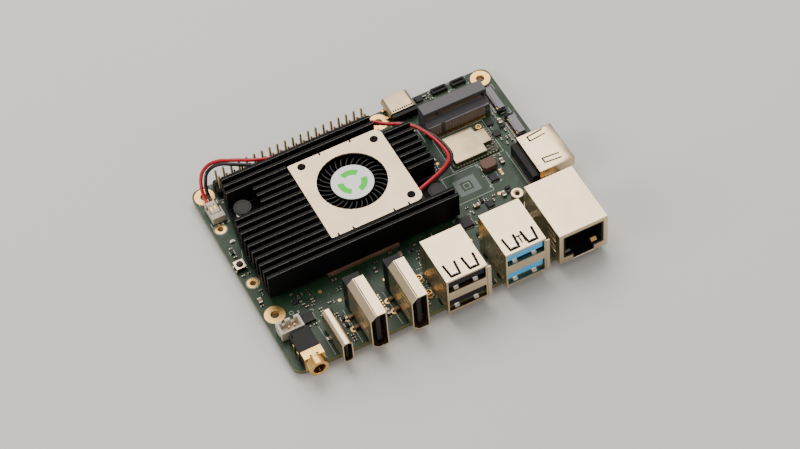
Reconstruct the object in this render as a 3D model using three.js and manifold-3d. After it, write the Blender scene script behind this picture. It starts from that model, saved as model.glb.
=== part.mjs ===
// Single board computer: a 100 x 74 mm circuit board with a finned cooler, a blower fan on a two-wire lead,
// a pin header, stacked ports along the front edge, and sockets along the back and right edges.
//
// Millimetres, +Z up. The origin is the centre of the board's underside. Inside the board group, positions are
// board coordinates: x from the left edge, y from the front edge and z from the board's top face.
import * as THREE from "three";
import { mergeVertices } from "three/addons/utils/BufferGeometryUtils.js";
import Module from "manifold-3d";

const wasm = await Module();
wasm.setup();

// ---------- driving dimensions ----------
const BOARD = { width: 100, depth: 74, thick: 1.6, corner: 3 };
const SEAT = 0.05; // solder film under a part that sits on the board
const GAP = 0.3; // clearance between pieces that nest in each other
const TAIL = 1.4; // how far a through-board tail stands out below the board
const SKIN = 0.35; // sheet thickness of the port shells

const MOUNT_HOLE = {
  radius: 1.35,
  at: [[3.5, 21.5], [3.5, 70.5], [61.5, 21.5], [61.5, 70.5], [96.5, 21.5], [96.5, 70.5]],
};
const EYELET = { radius: 0.95, at: [[2.7, 57.1], [2.7, 34.7]] };
const HEADER = { x: 32.7, y: 70.5, pitch: 2.54, columns: 20, rows: 2, base: 2.54, pin: 0.64, top: 8.5 };

const COOLER = {
  front: 26.2, back: 66.05, left: 4.6, right: 66.2, bottom: 1.4, base: 3.2, top: 11,
  fins: 16, pitch: 2.6, fin: 0.9, cornerX: 8, cornerY: 46, notchX: 56.8, notchY: 59.3,
};
const PUSH_PIN = {
  at: [[9.9, 55.1], [62.2, 32.6]], head: 2.7, headZ: [7.6, 8.6], shaft: 1.2, bore: 1.6,
  barb: 1.85, barbZ: -2.0, tipZ: -2.9, coil: 1.95, wire: 0.5, turns: 4,
};
const FAN = {
  x: [27.1, 57.3], y: [30.4, 60.6], z: [3.5, 9.9], floor: 0.8, chamber: 13.2, axis: [41.6, 46.4],
  plateZ: [10.0, 10.6], inlet: 10.5, hub: 6.5, hubZ: [4.9, 9.9], hubHollow: 5.6, shaft: 1.0, bore: 1.3,
  blades: 18, bladeTip: 12.3, bladeZ: [4.9, 9.4], screws: [[30.8, 58.4], [54.1, 57.3], [54.3, 33.4]],
};
const SCREW = { head: 1.05, headHeight: 0.35, shank: 0.45, clearance: 0.75, tip: 7.2 };
const PLATE = {
  corners: [0.4, 2.4, 2.4, 0.4], frontNotches: [29.2, 34.0, 47.2, 52.0], backNotches: [37.3, 47.3],
  notchWide: 0.5, notchDeep: 0.9,
};
const PIN_RECESS = { left: [14.8, [50.8, 59.9]], right: [57.3, [29.7, 40.1]] };
const LEAD = { diameter: 1.1, steps: 76, sides: 8 };
const STACK = {
  height: 15.3, depth: 16.5, width: 13, front: -2.9,
  mouth: 11.9, mouthZ: [[1.1, 6.2], [9.7, 14.6]],
};
const USB2_X = 47.0;
const USB3_X = 65.9;
const JACK45 = {
  x: [83.0, 98.9], y: [-3.3, 17.7], height: 13.4,
  mouthX: [85.0, 96.9], mouthZ: [3.0, 11.2], deep: 12.5,
};
const UPRIGHT_HDMI = {
  lefts: [22.6, 35.5], width: 5.2, height: 15.5,
  y: [-3.6, 11.2], chamfer: 1.8, rear: 3.8,
};
const SIDE_HDMI = { x: [92.6, 104.2], y: [25.4, 40.3], height: 5.8, rear: 2.2 };
const UPRIGHT_USB_C = { x: [13.5, 16.7], y: [-3.5, 9.9], z: [0.2, 8.9] };
const FLAT_USB_C = { x: [65.0, 73.9], y: [68.2, 75.6], z: [0.1, 3.35] };
const AUDIO = {
  x: [2.9, 9.2], y: [-0.7, 10.4], height: 5.0,
  barrel: 2.9, bore: 1.85, axis: [5.9, 3.3], nose: -3.8,
};
const INDUCTOR = { x: [79.9, 84.7], y: [36.9, 40.7], height: 2.2, corner: 0.9 };
const BATTERY = {
  x: [1.4, 8.8], y: [11.7, 16.3], height: 3.6,
  floor: 1.0, slots: [3.2, 6.0], slotWide: 1.1,
};
const LEAD_SOCKET = {
  x: [1.5, 5.7], y: [59.4, 65.8], height: 2.7,
  plugX: [2.2, 5.0], plugY: [61.7, 66.3], plugZ: [0.8, 2.5],
};
const M2 = {
  x: [71.6, 92.8], front: 57.0, lip: 59.2, back: 63.3, top: 9.0,
  sill: 4.6, slotZ: [6.1, 7.7], key: [76.2, 77.6], wall: 0.9,
};
const STANDOFF = { at: [83.0, 21.9], radius: 1.9, bore: 0.9, height: 6.0 };
const RIBBON = [
  { name: "camera_connector", x: [94.6, 97.2], y: [54.8, 66.0] },
  { name: "display_connector", x: [95.3, 98.2], y: [43.6, 52.8] },
];
const RIBBON_Z = { body: 1.3, latch: 1.9, lever: 1.5, horn: 0.7 };
const PROCESSOR = { x: [22.9, 45.9], y: [25.6, 48.6], z: [SEAT, 1.05] };
const THERMAL_PAD = { x: [24.5, 44.5], y: [27.2, 47.0], z: [1.1, 1.35] };
const MEMORY = { x: [8.5, 19.5], y: [30.0, 44.0], z: [SEAT, 0.95] };
const LIGHT = { x: [3.0, 4.6], y: [50.8, 51.6], z: [SEAT, 0.7] };
const ANTENNAS = [[45.2, 12.1], [45.3, 6.1]];
const RADIO = {
  x: [73.2, 88.2], y: [42.6, 55.3], board: 0.8, shield: 2.0, shieldX: [73.9, 84.5],
  shieldY: [43.2, 53.7], wingRight: 87.5, wingY: [46.1, 51.4],
};
const BUTTON = { at: [1.9, 41.6], size: 3.2, height: 1.7, plunger: 0.8, rise: 0.6, hollow: 0.5 };

// ---------- finishes ----------
const FINISH = {
  board: { color: 0x1f3d2b, roughness: 0.45, metalness: 0.0 },
  nickel: { color: 0xc9c1b4, roughness: 0.28, metalness: 1.0 },
  anodised: { color: 0x111112, roughness: 0.45, metalness: 0.6 },
  fanPlate: { color: 0xcdbfae, roughness: 0.4, metalness: 0.8 },
  blackPlastic: { color: 0x141416, roughness: 0.5, metalness: 0.0 },
  greyPlastic: { color: 0x6e6a70, roughness: 0.5, metalness: 0.0 },
  whitePlastic: { color: 0xe6dfd0, roughness: 0.5, metalness: 0.0 },
  bluePlastic: { color: 0x2aa9dc, roughness: 0.4, metalness: 0.0 },
  gold: { color: 0xd8a850, roughness: 0.3, metalness: 1.0 },
  epoxy: { color: 0x1a1a1c, roughness: 0.6, metalness: 0.0 },
  substrate: { color: 0x6b5340, roughness: 0.6, metalness: 0.0 },
  pad: { color: 0x9aa0a6, roughness: 0.9, metalness: 0.0 },
  ferrite: { color: 0x6a4638, roughness: 0.7, metalness: 0.1 },
  steel: { color: 0x8d8d90, roughness: 0.35, metalness: 1.0 },
  redWire: { color: 0xb81e2b, roughness: 0.4, metalness: 0.0 },
  blackWire: { color: 0x16120f, roughness: 0.4, metalness: 0.0 },
};

// ---------- solids ----------
// A closed geometry as a solid that can be joined and cut.
function solid(geometry) {
  const plain = geometry.index ? geometry.toNonIndexed() : geometry.clone();
  plain.deleteAttribute("normal");
  plain.deleteAttribute("uv");
  const merged = mergeVertices(plain, 1e-4);
  return new wasm.Manifold(
    new wasm.Mesh({
      numProp: 3,
      vertProperties: merged.attributes.position.array,
      triVerts: new Uint32Array(merged.index.array),
    }),
  );
}

const join = (first, ...others) => others.reduce((sum, piece) => sum.add(piece), first);
const cut = (first, ...others) => others.reduce((rest, piece) => rest.subtract(piece), first);

// A box given by its [low, high] pair along each axis.
function block(x, y, z) {
  const box = new THREE.BoxGeometry(x[1] - x[0], y[1] - y[0], z[1] - z[0]);
  box.translate((x[0] + x[1]) / 2, (y[0] + y[1]) / 2, (z[0] + z[1]) / 2);
  return solid(box);
}

// An upright round bar or cone: radius at the bottom and at the top.
function drum([x, y], radius, z, sides = 16, topRadius = radius) {
  const bar = new THREE.CylinderGeometry(topRadius, radius, z[1] - z[0], sides);
  bar.rotateX(Math.PI / 2);
  bar.translate(x, y, (z[0] + z[1]) / 2);
  return solid(bar);
}

// A round bar that lies along Y, centred on [x, z].
function barAlongY([x, z], radius, y, sides = 16) {
  const bar = new THREE.CylinderGeometry(radius, radius, y[1] - y[0], sides);
  bar.translate(x, (y[0] + y[1]) / 2, z);
  return solid(bar);
}

const X_AXIS = new THREE.Vector3(1, 0, 0);
const Y_AXIS = new THREE.Vector3(0, 1, 0);
const Z_AXIS = new THREE.Vector3(0, 0, 1);

function outline(points) {
  return new THREE.Shape(points.map(([a, b]) => new THREE.Vector2(a, b)));
}

// An outline in XY, extruded up from z[0] to z[1].
function slab(points, z) {
  const shape = points instanceof THREE.Shape ? points : outline(points);
  const plate = new THREE.ExtrudeGeometry(shape, { depth: z[1] - z[0], bevelEnabled: false, curveSegments: 4 });
  plate.translate(0, 0, z[0]);
  return solid(plate);
}

// An outline in XZ, extruded from y[0] to y[1].
function barOutlineXZ(points, y) {
  const bar = new THREE.ExtrudeGeometry(outline(points), { depth: y[1] - y[0], bevelEnabled: false });
  bar.applyMatrix4(new THREE.Matrix4().makeBasis(X_AXIS, Z_AXIS, Y_AXIS.clone().negate()));
  bar.translate(0, y[1], 0);
  return solid(bar);
}

// An outline in YZ, extruded from x[0] to x[1].
function barOutlineYZ(points, x) {
  const bar = new THREE.ExtrudeGeometry(outline(points), { depth: x[1] - x[0], bevelEnabled: false });
  bar.applyMatrix4(new THREE.Matrix4().makeBasis(Y_AXIS, Z_AXIS, X_AXIS));
  bar.translate(x[0], 0, 0);
  return solid(bar);
}

function roundedRectangle(x, y, radii) {
  const [bottomLeft, bottomRight, topRight, topLeft] = radii;
  const shape = new THREE.Shape();
  shape.moveTo(x[0] + bottomLeft, y[0]);
  shape.lineTo(x[1] - bottomRight, y[0]);
  if (bottomRight) shape.absarc(x[1] - bottomRight, y[0] + bottomRight, bottomRight, -Math.PI / 2, 0);
  shape.lineTo(x[1], y[1] - topRight);
  if (topRight) shape.absarc(x[1] - topRight, y[1] - topRight, topRight, 0, Math.PI / 2);
  shape.lineTo(x[0] + topLeft, y[1]);
  if (topLeft) shape.absarc(x[0] + topLeft, y[1] - topLeft, topLeft, Math.PI / 2, Math.PI);
  shape.lineTo(x[0], y[0] + bottomLeft);
  if (bottomLeft) shape.absarc(x[0] + bottomLeft, y[0] + bottomLeft, bottomLeft, Math.PI, 1.5 * Math.PI);
  return shape;
}

const nodes = new THREE.Group();
nodes.position.set(-BOARD.width / 2, -BOARD.depth / 2, BOARD.thick);

function addNode(name, body, finish) {
  const data = body.getMesh();
  const geometry = new THREE.BufferGeometry();
  geometry.setAttribute("position", new THREE.BufferAttribute(data.vertProperties, data.numProp));
  geometry.setIndex(new THREE.BufferAttribute(data.triVerts, 1));
  geometry.computeVertexNormals();
  const mesh = new THREE.Mesh(geometry, new THREE.MeshStandardMaterial(FINISH[finish]));
  mesh.name = name;
  nodes.add(mesh);
}

// ---------- tails that pass through the board ----------
const LEG = { thick: 0.4, long: 1.6 };
const BELOW = -BOARD.thick - TAIL;
const legSlots = []; // [x, y] of every shell leg, filled in as the shells are made

function leg(x, y, top) {
  legSlots.push([x, y]);
  return block([x - LEG.thick / 2, x + LEG.thick / 2], [y - LEG.long / 2, y + LEG.long / 2], [BELOW, top]);
}

function headerPinCentres() {
  const centres = [];
  for (let column = 0; column < HEADER.columns; column += 1) {
    for (let row = 0; row < HEADER.rows; row += 1) {
      centres.push([
        HEADER.x + (column - (HEADER.columns - 1) / 2) * HEADER.pitch,
        HEADER.y + (row - (HEADER.rows - 1) / 2) * HEADER.pitch,
      ]);
    }
  }
  return centres;
}

// ---------- cooler ----------
function heatsink() {
  const { front, back, left, right, bottom, base, top, cornerX, cornerY, notchX, notchY } = COOLER;
  const plan = [
    [left, front], [right, front], [right, notchY], [notchX, notchY], [notchX, back], [cornerX, back], [left, cornerY],
  ];
  const pieces = [slab(plan, [bottom, base])];
  for (let i = 0; i < COOLER.fins; i += 1) {
    const y0 = front + i * COOLER.pitch;
    const y1 = Math.min(y0 + COOLER.fin, back);
    const taper = Math.max(0, (y1 - cornerY) / (back - cornerY)) * (cornerX - left);
    const end = y1 > notchY ? notchX : right;
    pieces.push(block([left + taper, end], [y0, y1], [base - GAP, top]));
  }
  const fanPocket = block([FAN.x[0] - GAP, FAN.x[1] + GAP], [FAN.y[0] - GAP, FAN.y[1] + GAP], [base, top + 1]);
  const leftRecess = block([0, PIN_RECESS.left[0]], PIN_RECESS.left[1], [base, top + 1]);
  const rightRecess = block([PIN_RECESS.right[0], right + 1], PIN_RECESS.right[1], [base, top + 1]);
  const bores = PUSH_PIN.at.map((at) => drum(at, PUSH_PIN.bore, [0, base + 1], 12));
  return cut(join(...pieces), fanPocket, leftRecess, rightRecess, ...bores);
}

function pushPin(at) {
  const { head, headZ, shaft, barb, barbZ, tipZ } = PUSH_PIN;
  const dome = drum(at, head, headZ, 20);
  const stem = drum(at, shaft, [barbZ - 0.1, headZ[0] + 0.1], 12);
  const tip = drum(at, 0.8, [tipZ, barbZ], 12, barb);
  return join(dome, stem, tip);
}

class Helix extends THREE.Curve {
  constructor([x, y], radius, z, turns) {
    super();
    Object.assign(this, { x, y, radius, z, turns });
  }

  getPoint(t, target = new THREE.Vector3()) {
    const angle = 2 * Math.PI * this.turns * t;
    const height = this.z[0] + (this.z[1] - this.z[0]) * t;
    return target.set(this.x + this.radius * Math.cos(angle), this.y + this.radius * Math.sin(angle), height);
  }
}

function tube(curve, diameter, steps, sides) {
  const section = new THREE.Shape();
  for (let i = 0; i < sides; i += 1) {
    const angle = (2 * Math.PI * i) / sides;
    const point = [(Math.cos(angle) * diameter) / 2, (Math.sin(angle) * diameter) / 2];
    if (i === 0) section.moveTo(...point);
    else section.lineTo(...point);
  }
  return solid(new THREE.ExtrudeGeometry(section, { steps, bevelEnabled: false, extrudePath: curve }));
}

function pinSpring(at) {
  const { headZ, coil, wire, turns } = PUSH_PIN;
  const margin = wire / 2 + GAP / 3;
  const helix = new Helix(at, coil, [COOLER.base + margin, headZ[0] - margin], turns);
  return tube(helix, wire, 12 * turns, 6);
}

// ---------- fan ----------
function fanHousing() {
  const { x, y, z, floor, chamber, axis, shaft } = FAN;
  const inside = [z[0] + floor, z[1] + 1];
  const bowl = drum(axis, chamber, inside, 36);
  const leftVent = block([x[0] - 1, axis[0]], [35.5, 57.3], [inside[0], z[1] - 1.2]);
  const rightVent = block([axis[0], x[1] + 1], [39.5, 53.3], [inside[0], z[1] - 1.2]);
  const leadExit = block([x[1] - 3.5, x[1] + 1], [34.0, 35.6], [6.6, z[1] + 1]);
  const body = cut(block(x, y, z), bowl, leftVent, rightVent, leadExit);
  const screwHoles = FAN.screws.map((at) => drum(at, SCREW.clearance, [z[0] + 2, z[1] + 1], 10));
  return cut(join(body, drum(axis, shaft, [z[0] + 0.1, 8.4], 12)), ...screwHoles);
}

function fanPlate() {
  const { x, y, plateZ, inlet, axis, screws } = FAN;
  const plate = slab(roundedRectangle(x, y, PLATE.corners), plateZ);
  const through = [plateZ[0] - 1, plateZ[1] + 1];
  const holes = screws.map((at) => drum(at, SCREW.clearance, through, 12));
  const notches = [];
  for (const notchX of PLATE.frontNotches) {
    notches.push(block([notchX, notchX + PLATE.notchWide], [y[0] - 1, y[0] + PLATE.notchDeep], through));
  }
  for (const notchX of PLATE.backNotches) {
    notches.push(block([notchX, notchX + PLATE.notchWide], [y[1] - PLATE.notchDeep, y[1] + 1], through));
  }
  return cut(plate, drum(axis, inlet, through, 36), ...holes, ...notches);
}

function fanRotor() {
  const { axis, hub, hubZ, hubHollow, bore, blades, bladeTip, bladeZ } = FAN;
  const cup = cut(drum(axis, hub, hubZ, 28), drum(axis, hubHollow, [hubZ[0] - 1, hubZ[1] - 1], 28));
  const boss = drum(axis, 2.4, [hubZ[0] + 0.3, hubZ[1] - 0.5], 14);
  const vanes = [];
  for (let i = 0; i < blades; i += 1) {
    const start = (2 * Math.PI * i) / blades;
    const polar = (radius, angle) => [
      axis[0] + radius * Math.cos(start + angle),
      axis[1] + radius * Math.sin(start + angle),
    ];
    const middle = (hub + bladeTip) / 2;
    const leading = [polar(hub - 0.3, 0), polar(middle, 0.1), polar(bladeTip, 0.3)];
    const trailing = [polar(bladeTip, 0.35), polar(middle, 0.16), polar(hub - 0.3, 0.07)];
    vanes.push(slab([...leading, ...trailing], bladeZ));
  }
  return cut(join(cup, boss, ...vanes), drum(axis, bore, [hubZ[0] - 1, 8.7], 14));
}

function fanScrew(at) {
  const seat = FAN.plateZ[1] + SEAT;
  const shank = drum(at, SCREW.shank, [SCREW.tip, seat + 0.1], 8);
  return join(drum(at, SCREW.head, [seat, seat + SCREW.headHeight], 12), shank);
}

// Both conductors leave the blower at its front right corner, pass outside the fins on the right, run along the
// back of the cooler beside the header, climb over its first pins and drop into the plug at the left edge.
const RED_ROUTE = [
  [57.7, 34.8, 9.1], [60.7, 35.8, 9.2], [64.0, 37.0, 9.1], [67.6, 38.8, 8.7], [70.3, 41.0, 8.1], [71.6, 43.8, 7.5],
  [71.6, 47.4, 7.1], [70.8, 52.0, 6.9], [69.2, 56.4, 6.8], [67.4, 59.4, 6.7], [64.4, 61.9, 6.5], [61.0, 64.1, 6.3],
  [58.3, 66.4, 6.4], [55.0, 67.5, 6.8], [48.0, 67.5, 7.3], [38.0, 67.4, 7.7], [30.0, 67.4, 7.95], [26.3, 67.4, 8.3],
  [22.7, 67.9, 9.0], [19.5, 68.9, 9.5], [16.6, 70.4, 9.6], [13.6, 72.2, 9.4], [10.7, 74.0, 8.9], [7.9, 74.9, 7.9],
  [5.2, 74.0, 6.7], [3.8, 72.2, 5.4], [3.1, 70.2, 3.6], [2.95, 68.2, 2.0], [2.95, 66.6, 1.6],
];
const BLACK_ROUTE = [
  [57.7, 34.8, 7.5], [60.7, 35.9, 7.5], [64.2, 37.3, 7.3], [68.2, 39.2, 7.0], [71.4, 41.4, 6.5], [73.0, 44.2, 6.0],
  [73.1, 47.8, 5.7], [72.3, 52.4, 5.5], [70.4, 56.8, 5.4], [68.7, 60.2, 5.3], [65.6, 62.9, 5.1], [62.0, 64.9, 4.9],
  [58.8, 66.8, 4.9], [55.4, 67.5, 5.2], [48.0, 67.5, 5.8], [38.0, 67.4, 6.2], [30.0, 67.4, 6.5], [24.4, 67.3, 7.1],
  [21.6, 67.1, 8.0], [19.2, 67.4, 8.9], [16.2, 68.8, 9.4], [13.4, 70.6, 9.4], [10.8, 72.3, 9.2], [8.4, 73.3, 8.2],
  [6.2, 72.9, 7.0], [4.95, 71.4, 5.2], [4.35, 69.9, 3.4], [4.25, 68.2, 2.0], [4.25, 66.6, 1.6],
];

function leadWire(route) {
  const curve = new THREE.CatmullRomCurve3(route.map((point) => new THREE.Vector3(...point)), false, "centripetal");
  return tube(curve, LEAD.diameter, LEAD.steps, LEAD.sides);
}

// The lead's socket lies on its side with its mouth towards the back, and the plug fills it.
function fanSocket() {
  const { x, y, height, plugX, plugY, plugZ } = LEAD_SOCKET;
  const body = block(x, y, [SEAT, height]);
  const mouth = block([plugX[0] - GAP, plugX[1] + GAP], [plugY[0] - GAP, y[1] + 1], [plugZ[0] - GAP, height + 1]);
  return cut(body, mouth);
}

// ---------- port shells and their inserts ----------
function usbShell(left) {
  const { height, depth, width, front, mouth, mouthZ } = STACK;
  const right = left + width;
  const middle = left + width / 2;
  const y = [front, front + depth];
  const box = block([left, right], y, [SEAT, height]);
  const hollow = block([left + SKIN, right - SKIN], [front + 1.2, y[1] - SKIN], [-1, height - SKIN]);
  const mouths = mouthZ.map((z) => block([middle - mouth / 2, middle + mouth / 2], [front - 1, front + 2], z));
  const flange = block([right - 0.2, right + 1.2], [front, front + 0.4], [0.4, 14.0]);
  const legs = [2.0, 10.0].flatMap((y0) => [leg(left + 0.2, y0, 1), leg(right - 0.2, y0, 1)]);
  return join(cut(box, hollow, ...mouths), flange, ...legs);
}

// A moulded core with one tongue in each mouth of the stack.
function usbInsert(left) {
  const { depth, width, front, mouthZ, height } = STACK;
  const inner = [left + SKIN + GAP, left + width - SKIN - GAP];
  const core = block(inner, [front + 10.6, front + depth - SKIN - GAP], [SEAT, height - SKIN - GAP]);
  const tongues = mouthZ.map((z) =>
    block([left + 1.0, left + width - 1.0], [front + 2.2, front + 10.8], [z[1] - 2.5, z[1] - 0.7]),
  );
  return join(core, ...tongues);
}

function rj45Shell() {
  const { x, y, height } = JACK45;
  const hollow = block([x[0] + SKIN, x[1] - SKIN], [y[0] - 1, y[1] - SKIN], [-1, height - SKIN]);
  const legs = [leg(x[0] + 0.2, 6.0, 1), leg(x[1] - 0.2, 6.0, 1), leg(x[0] + 0.2, 14, 1), leg(x[1] - 0.2, 14, 1)];
  return join(cut(block(x, y, [SEAT, height]), hollow), ...legs);
}

function rj45Insert() {
  const { x, y, height, mouthX, mouthZ, deep } = JACK45;
  const middle = (mouthX[0] + mouthX[1]) / 2;
  const inset = SKIN + GAP;
  const body = block([x[0] + inset, x[1] - inset], [y[0] + 0.2, y[1] - inset], [SEAT, height - inset]);
  const cavity = block(mouthX, [y[0] - 1, y[0] + deep], mouthZ);
  const latchWay = block([middle - 3.1, middle + 3.1], [y[0] - 1, y[0] + deep], [mouthZ[0] - 2.2, mouthZ[0] + 1]);
  const comb = block([middle - 4.2, middle + 4.2], [y[0] + 3.6, y[0] + deep + 1], [mouthZ[1] - 1.3, mouthZ[1] + 0.5]);
  return join(cut(body, cavity, latchWay), comb);
}

// The upright video port is a five-sided tube: its two left-hand corners are cut off.
function uprightOutline(left, inset) {
  const { width, height, chamfer } = UPRIGHT_HDMI;
  const slope = inset * 0.41;
  const x0 = left + inset;
  const x1 = left + width - inset;
  const cornerX = left + chamfer + slope;
  return [
    [cornerX, SEAT + 0.2 + inset], [x1, SEAT + 0.2 + inset], [x1, height - inset], [cornerX, height - inset],
    [x0, height - 2.0 - slope], [x0, 2.4 + slope],
  ];
}

function uprightHdmiShell(left) {
  const { y, width } = UPRIGHT_HDMI;
  const outer = barOutlineXZ(uprightOutline(left, 0), y);
  const inner = barOutlineXZ(uprightOutline(left, SKIN), [y[0] - 1, y[1] + 1]);
  const feet = [];
  for (const y0 of [5.8, 9.8]) {
    feet.push(leg(left - 1.1, y0, 3.0));
    feet.push(block([left - 1.3, left + 0.2], [y0 - LEG.long / 2, y0 + LEG.long / 2], [2.6, 3.0]));
    feet.push(leg(left + width - 0.2, y0, 1));
  }
  return join(cut(outer, inner), ...feet);
}

function uprightHdmiInsert(left) {
  const { y, width, rear } = UPRIGHT_HDMI;
  const plug = barOutlineXZ(uprightOutline(left, SKIN + GAP), [y[0] + 7.5, y[1] + 0.4]);
  const back = block([left + 0.1, left + width], [y[1] + 0.3, y[1] + rear], [SEAT, 12.6]);
  const middle = left + width / 2 + 0.2;
  const tongue = block([middle - 0.7, middle + 0.7], [y[0] + 1.2, y[0] + 7.6], [2.2, 13.6]);
  return join(plug, back, tongue);
}

function sideHdmiShell() {
  const { x, y, height } = SIDE_HDMI;
  const outer = (inset) => [
    [y[0] + inset, height - inset], [y[0] + inset, 2.4], [y[0] + 1.6, SEAT + 0.2 + inset],
    [y[1] - 1.6, SEAT + 0.2 + inset], [y[1] - inset, 2.4], [y[1] - inset, height - inset],
  ];
  const walls = cut(barOutlineYZ(outer(0), x), barOutlineYZ(outer(SKIN), [x[0] - 1, x[1] + 1]));
  const tab = block([94.0, 97.2], [y[0] - 1.0, y[0] + 0.1], [2.6, 3.0]);
  return join(walls, tab);
}

function sideHdmiInsert() {
  const { x, y, rear } = SIDE_HDMI;
  const inset = SKIN + GAP;
  const core = block([x[0] - 0.1, x[0] + 4.5], [y[0] + 1.9, y[1] - 1.9], [SEAT + 0.2 + inset, 5.1]);
  const back = block([x[0] - rear, x[0]], [y[0] + 0.4, y[1] - 0.6], [SEAT, 4.4]);
  const tongue = block([x[0] + 4.4, x[1] - 1.2], [y[0] + 2.4, y[1] - 2.4], [2.2, 3.6]);
  return join(core, back, tongue);
}

// Rounded tube of the small reversible socket: its mouth is a flat oval.
function oval(low, high, inset) {
  const shape = roundedRectangle(
    [low[0] + inset, high[0] - inset],
    [low[1] + inset, high[1] - inset],
    Array(4).fill(1.25 - inset * 0.8),
  );
  return shape.getPoints(3).slice(0, -1).map((point) => [point.x, point.y]);
}

function uprightUsbC() {
  const { x, y, z } = UPRIGHT_USB_C;
  const low = [x[0], z[0]];
  const high = [x[1], z[1]];
  const middle = (x[0] + x[1]) / 2;
  const inside = barOutlineXZ(oval(low, high, SKIN), [y[0] - 1, y[1] - SKIN]);
  const tube0 = cut(barOutlineXZ(oval(low, high, 0), y), inside);
  const foot = (y0) => block([x[0] + 0.6, x[1] - 0.6], [y0, y0 + 1.6], [SEAT, z[0] + 0.2]);
  const core = barOutlineXZ(oval(low, high, SKIN + GAP), [y[0] + 6.2, y[1] - SKIN - GAP]);
  const tongue = block([middle - 0.35, middle + 0.35], [y[0] + 0.9, y[0] + 6.3], [z[0] + 1.2, z[1] - 1.2]);
  return { shell: join(tube0, foot(0.5), foot(6.5)), tongue: join(core, tongue) };
}

function flatUsbC() {
  const { x, y, z } = FLAT_USB_C;
  const low = [x[0], z[0]];
  const high = [x[1], z[1]];
  const middle = (z[0] + z[1]) / 2;
  const inside = barOutlineXZ(oval(low, high, SKIN), [y[0] - 1, y[1] + 1]);
  const tube0 = cut(barOutlineXZ(oval(low, high, 0), [y[0] + 0.6, y[1]]), inside);
  const core = barOutlineXZ(oval(low, high, SKIN + GAP), [y[0] + 0.5, y[0] + 2.2]);
  const back = block([x[0] + 0.3, x[1] - 0.3], [y[0] - 0.9, y[0] + 0.3], [SEAT, 2.9]);
  const neck = block([x[0] + 1.2, x[1] - 1.2], [y[0] - 0.1, y[0] + 1.0], [z[0] + 0.7, z[1] - 0.7]);
  const tongue = block([x[0] + 1.4, x[1] - 1.4], [y[0] + 2.1, y[1] - 0.9], [middle - 0.35, middle + 0.35]);
  return { shell: tube0, tongue: join(core, back, neck, tongue) };
}

// ---------- audio, sockets and small parts ----------
function audioBody() {
  const { x, y, height, bore, axis } = AUDIO;
  return cut(block(x, [y[0] + 1.3, y[1]], [SEAT, height]), barAlongY(axis, bore, [y[0], y[1] - 2], 16));
}

function audioBarrel() {
  const { x, y, height, barrel, bore, axis, nose } = AUDIO;
  const nut = barAlongY(axis, barrel, [nose, y[0] + 1.0], 24);
  const face = block([x[0], x[1]], [y[0], y[0] + 1.0], [SEAT, height + 0.4]);
  const cap = block(x, [y[0], y[0] + 3.0], [height + SEAT, height + 0.4]);
  return cut(join(nut, face, cap), barAlongY(axis, bore, [nose - 1, y[0] + 2], 16));
}

function batteryConnector() {
  const { x, y, height, floor, slots, slotWide } = BATTERY;
  const walls = block(x, y, [SEAT, height]);
  const well = block([x[0] + 0.8, x[1] - 0.8], [y[0] + 0.7, y[1] - 0.9], [floor, height + 1]);
  const openings = slots.map((x0) => block([x0, x0 + slotWide], [y[1] - 1.3, y[1] + 1], [floor + 1, height + 1]));
  return cut(walls, well, ...openings);
}

function m2Socket() {
  const { x, front, lip, back, top, sill, slotZ, key, wall } = M2;
  const profile = [[front, SEAT], [back, SEAT], [back, top], [lip, top], [lip, slotZ[0] - 0.6], [front, sill]];
  const body = barOutlineYZ(profile, x);
  const deep = back - 1.6;
  const rightWay = block([key[1], x[1] - wall], [front - 1, deep], slotZ);
  const leftWay = block([x[0] + wall, key[0]], [front - 1, deep], slotZ);
  return cut(body, rightWay, leftWay);
}

function ribbonBody({ x, y }) {
  const base = block(x, y, [SEAT, RIBBON_Z.body]);
  const ends = [[y[0], y[0] + RIBBON_Z.horn], [y[1] - RIBBON_Z.horn, y[1]]];
  const horns = ends.map((span) => block([x[0], x[1] - 1.2], span, [SEAT, RIBBON_Z.latch]));
  return join(base, ...horns);
}

// The flip latch turns about an axis along Y at its outer, lower edge.
function ribbonLatch({ x, y }) {
  const inner = [y[0] + 1.0, y[1] - 1.0];
  const bar = block([x[0] + 0.5, x[1] - 0.1], inner, [RIBBON_Z.body + 0.15, RIBBON_Z.latch]);
  const lift = block([x[0] + 0.1, x[0] + 0.7], [y[0] + 2.2, y[1] - 2.2], [RIBBON_Z.body + 0.15, RIBBON_Z.lever + 0.2]);
  return join(bar, lift);
}

function antennaConnector([x, y]) {
  const foot = block([x - 1.3, x + 1.3], [y - 1.3, y + 1.3], [SEAT, 0.4]);
  const cup = drum([x, y], 1.05, [0.3, 1.25], 16);
  const pin = drum([x, y], 0.3, [0.3, 1.15], 8);
  return join(cut(join(foot, cup), drum([x, y], 0.75, [0.45, 2], 14)), pin);
}

function buttonBody() {
  const { at, size, height, hollow, plunger } = BUTTON;
  const half = size / 2;
  const shell = block([at[0] - half, at[0] + half], [at[1] - half, at[1] + half], [SEAT, height]);
  return cut(shell, drum(at, plunger + 0.25, [hollow, height + 1], 16));
}

function buttonPlunger() {
  const { at, height, rise, plunger } = BUTTON;
  return drum(at, plunger, [BUTTON.hollow + 0.45, height + rise], 16);
}

function inductor() {
  const { x, y, height, corner } = INDUCTOR;
  const [innerX, innerY] = [x, y].map(([low, high]) => [low + corner, high - corner]);
  const right = [[innerX[1], y[0]], [x[1], innerY[0]], [x[1], innerY[1]], [innerX[1], y[1]]];
  const left = [[innerX[0], y[1]], [x[0], innerY[1]], [x[0], innerY[0]], [innerX[0], y[0]]];
  return slab([...right, ...left], [SEAT, height]);
}

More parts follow.
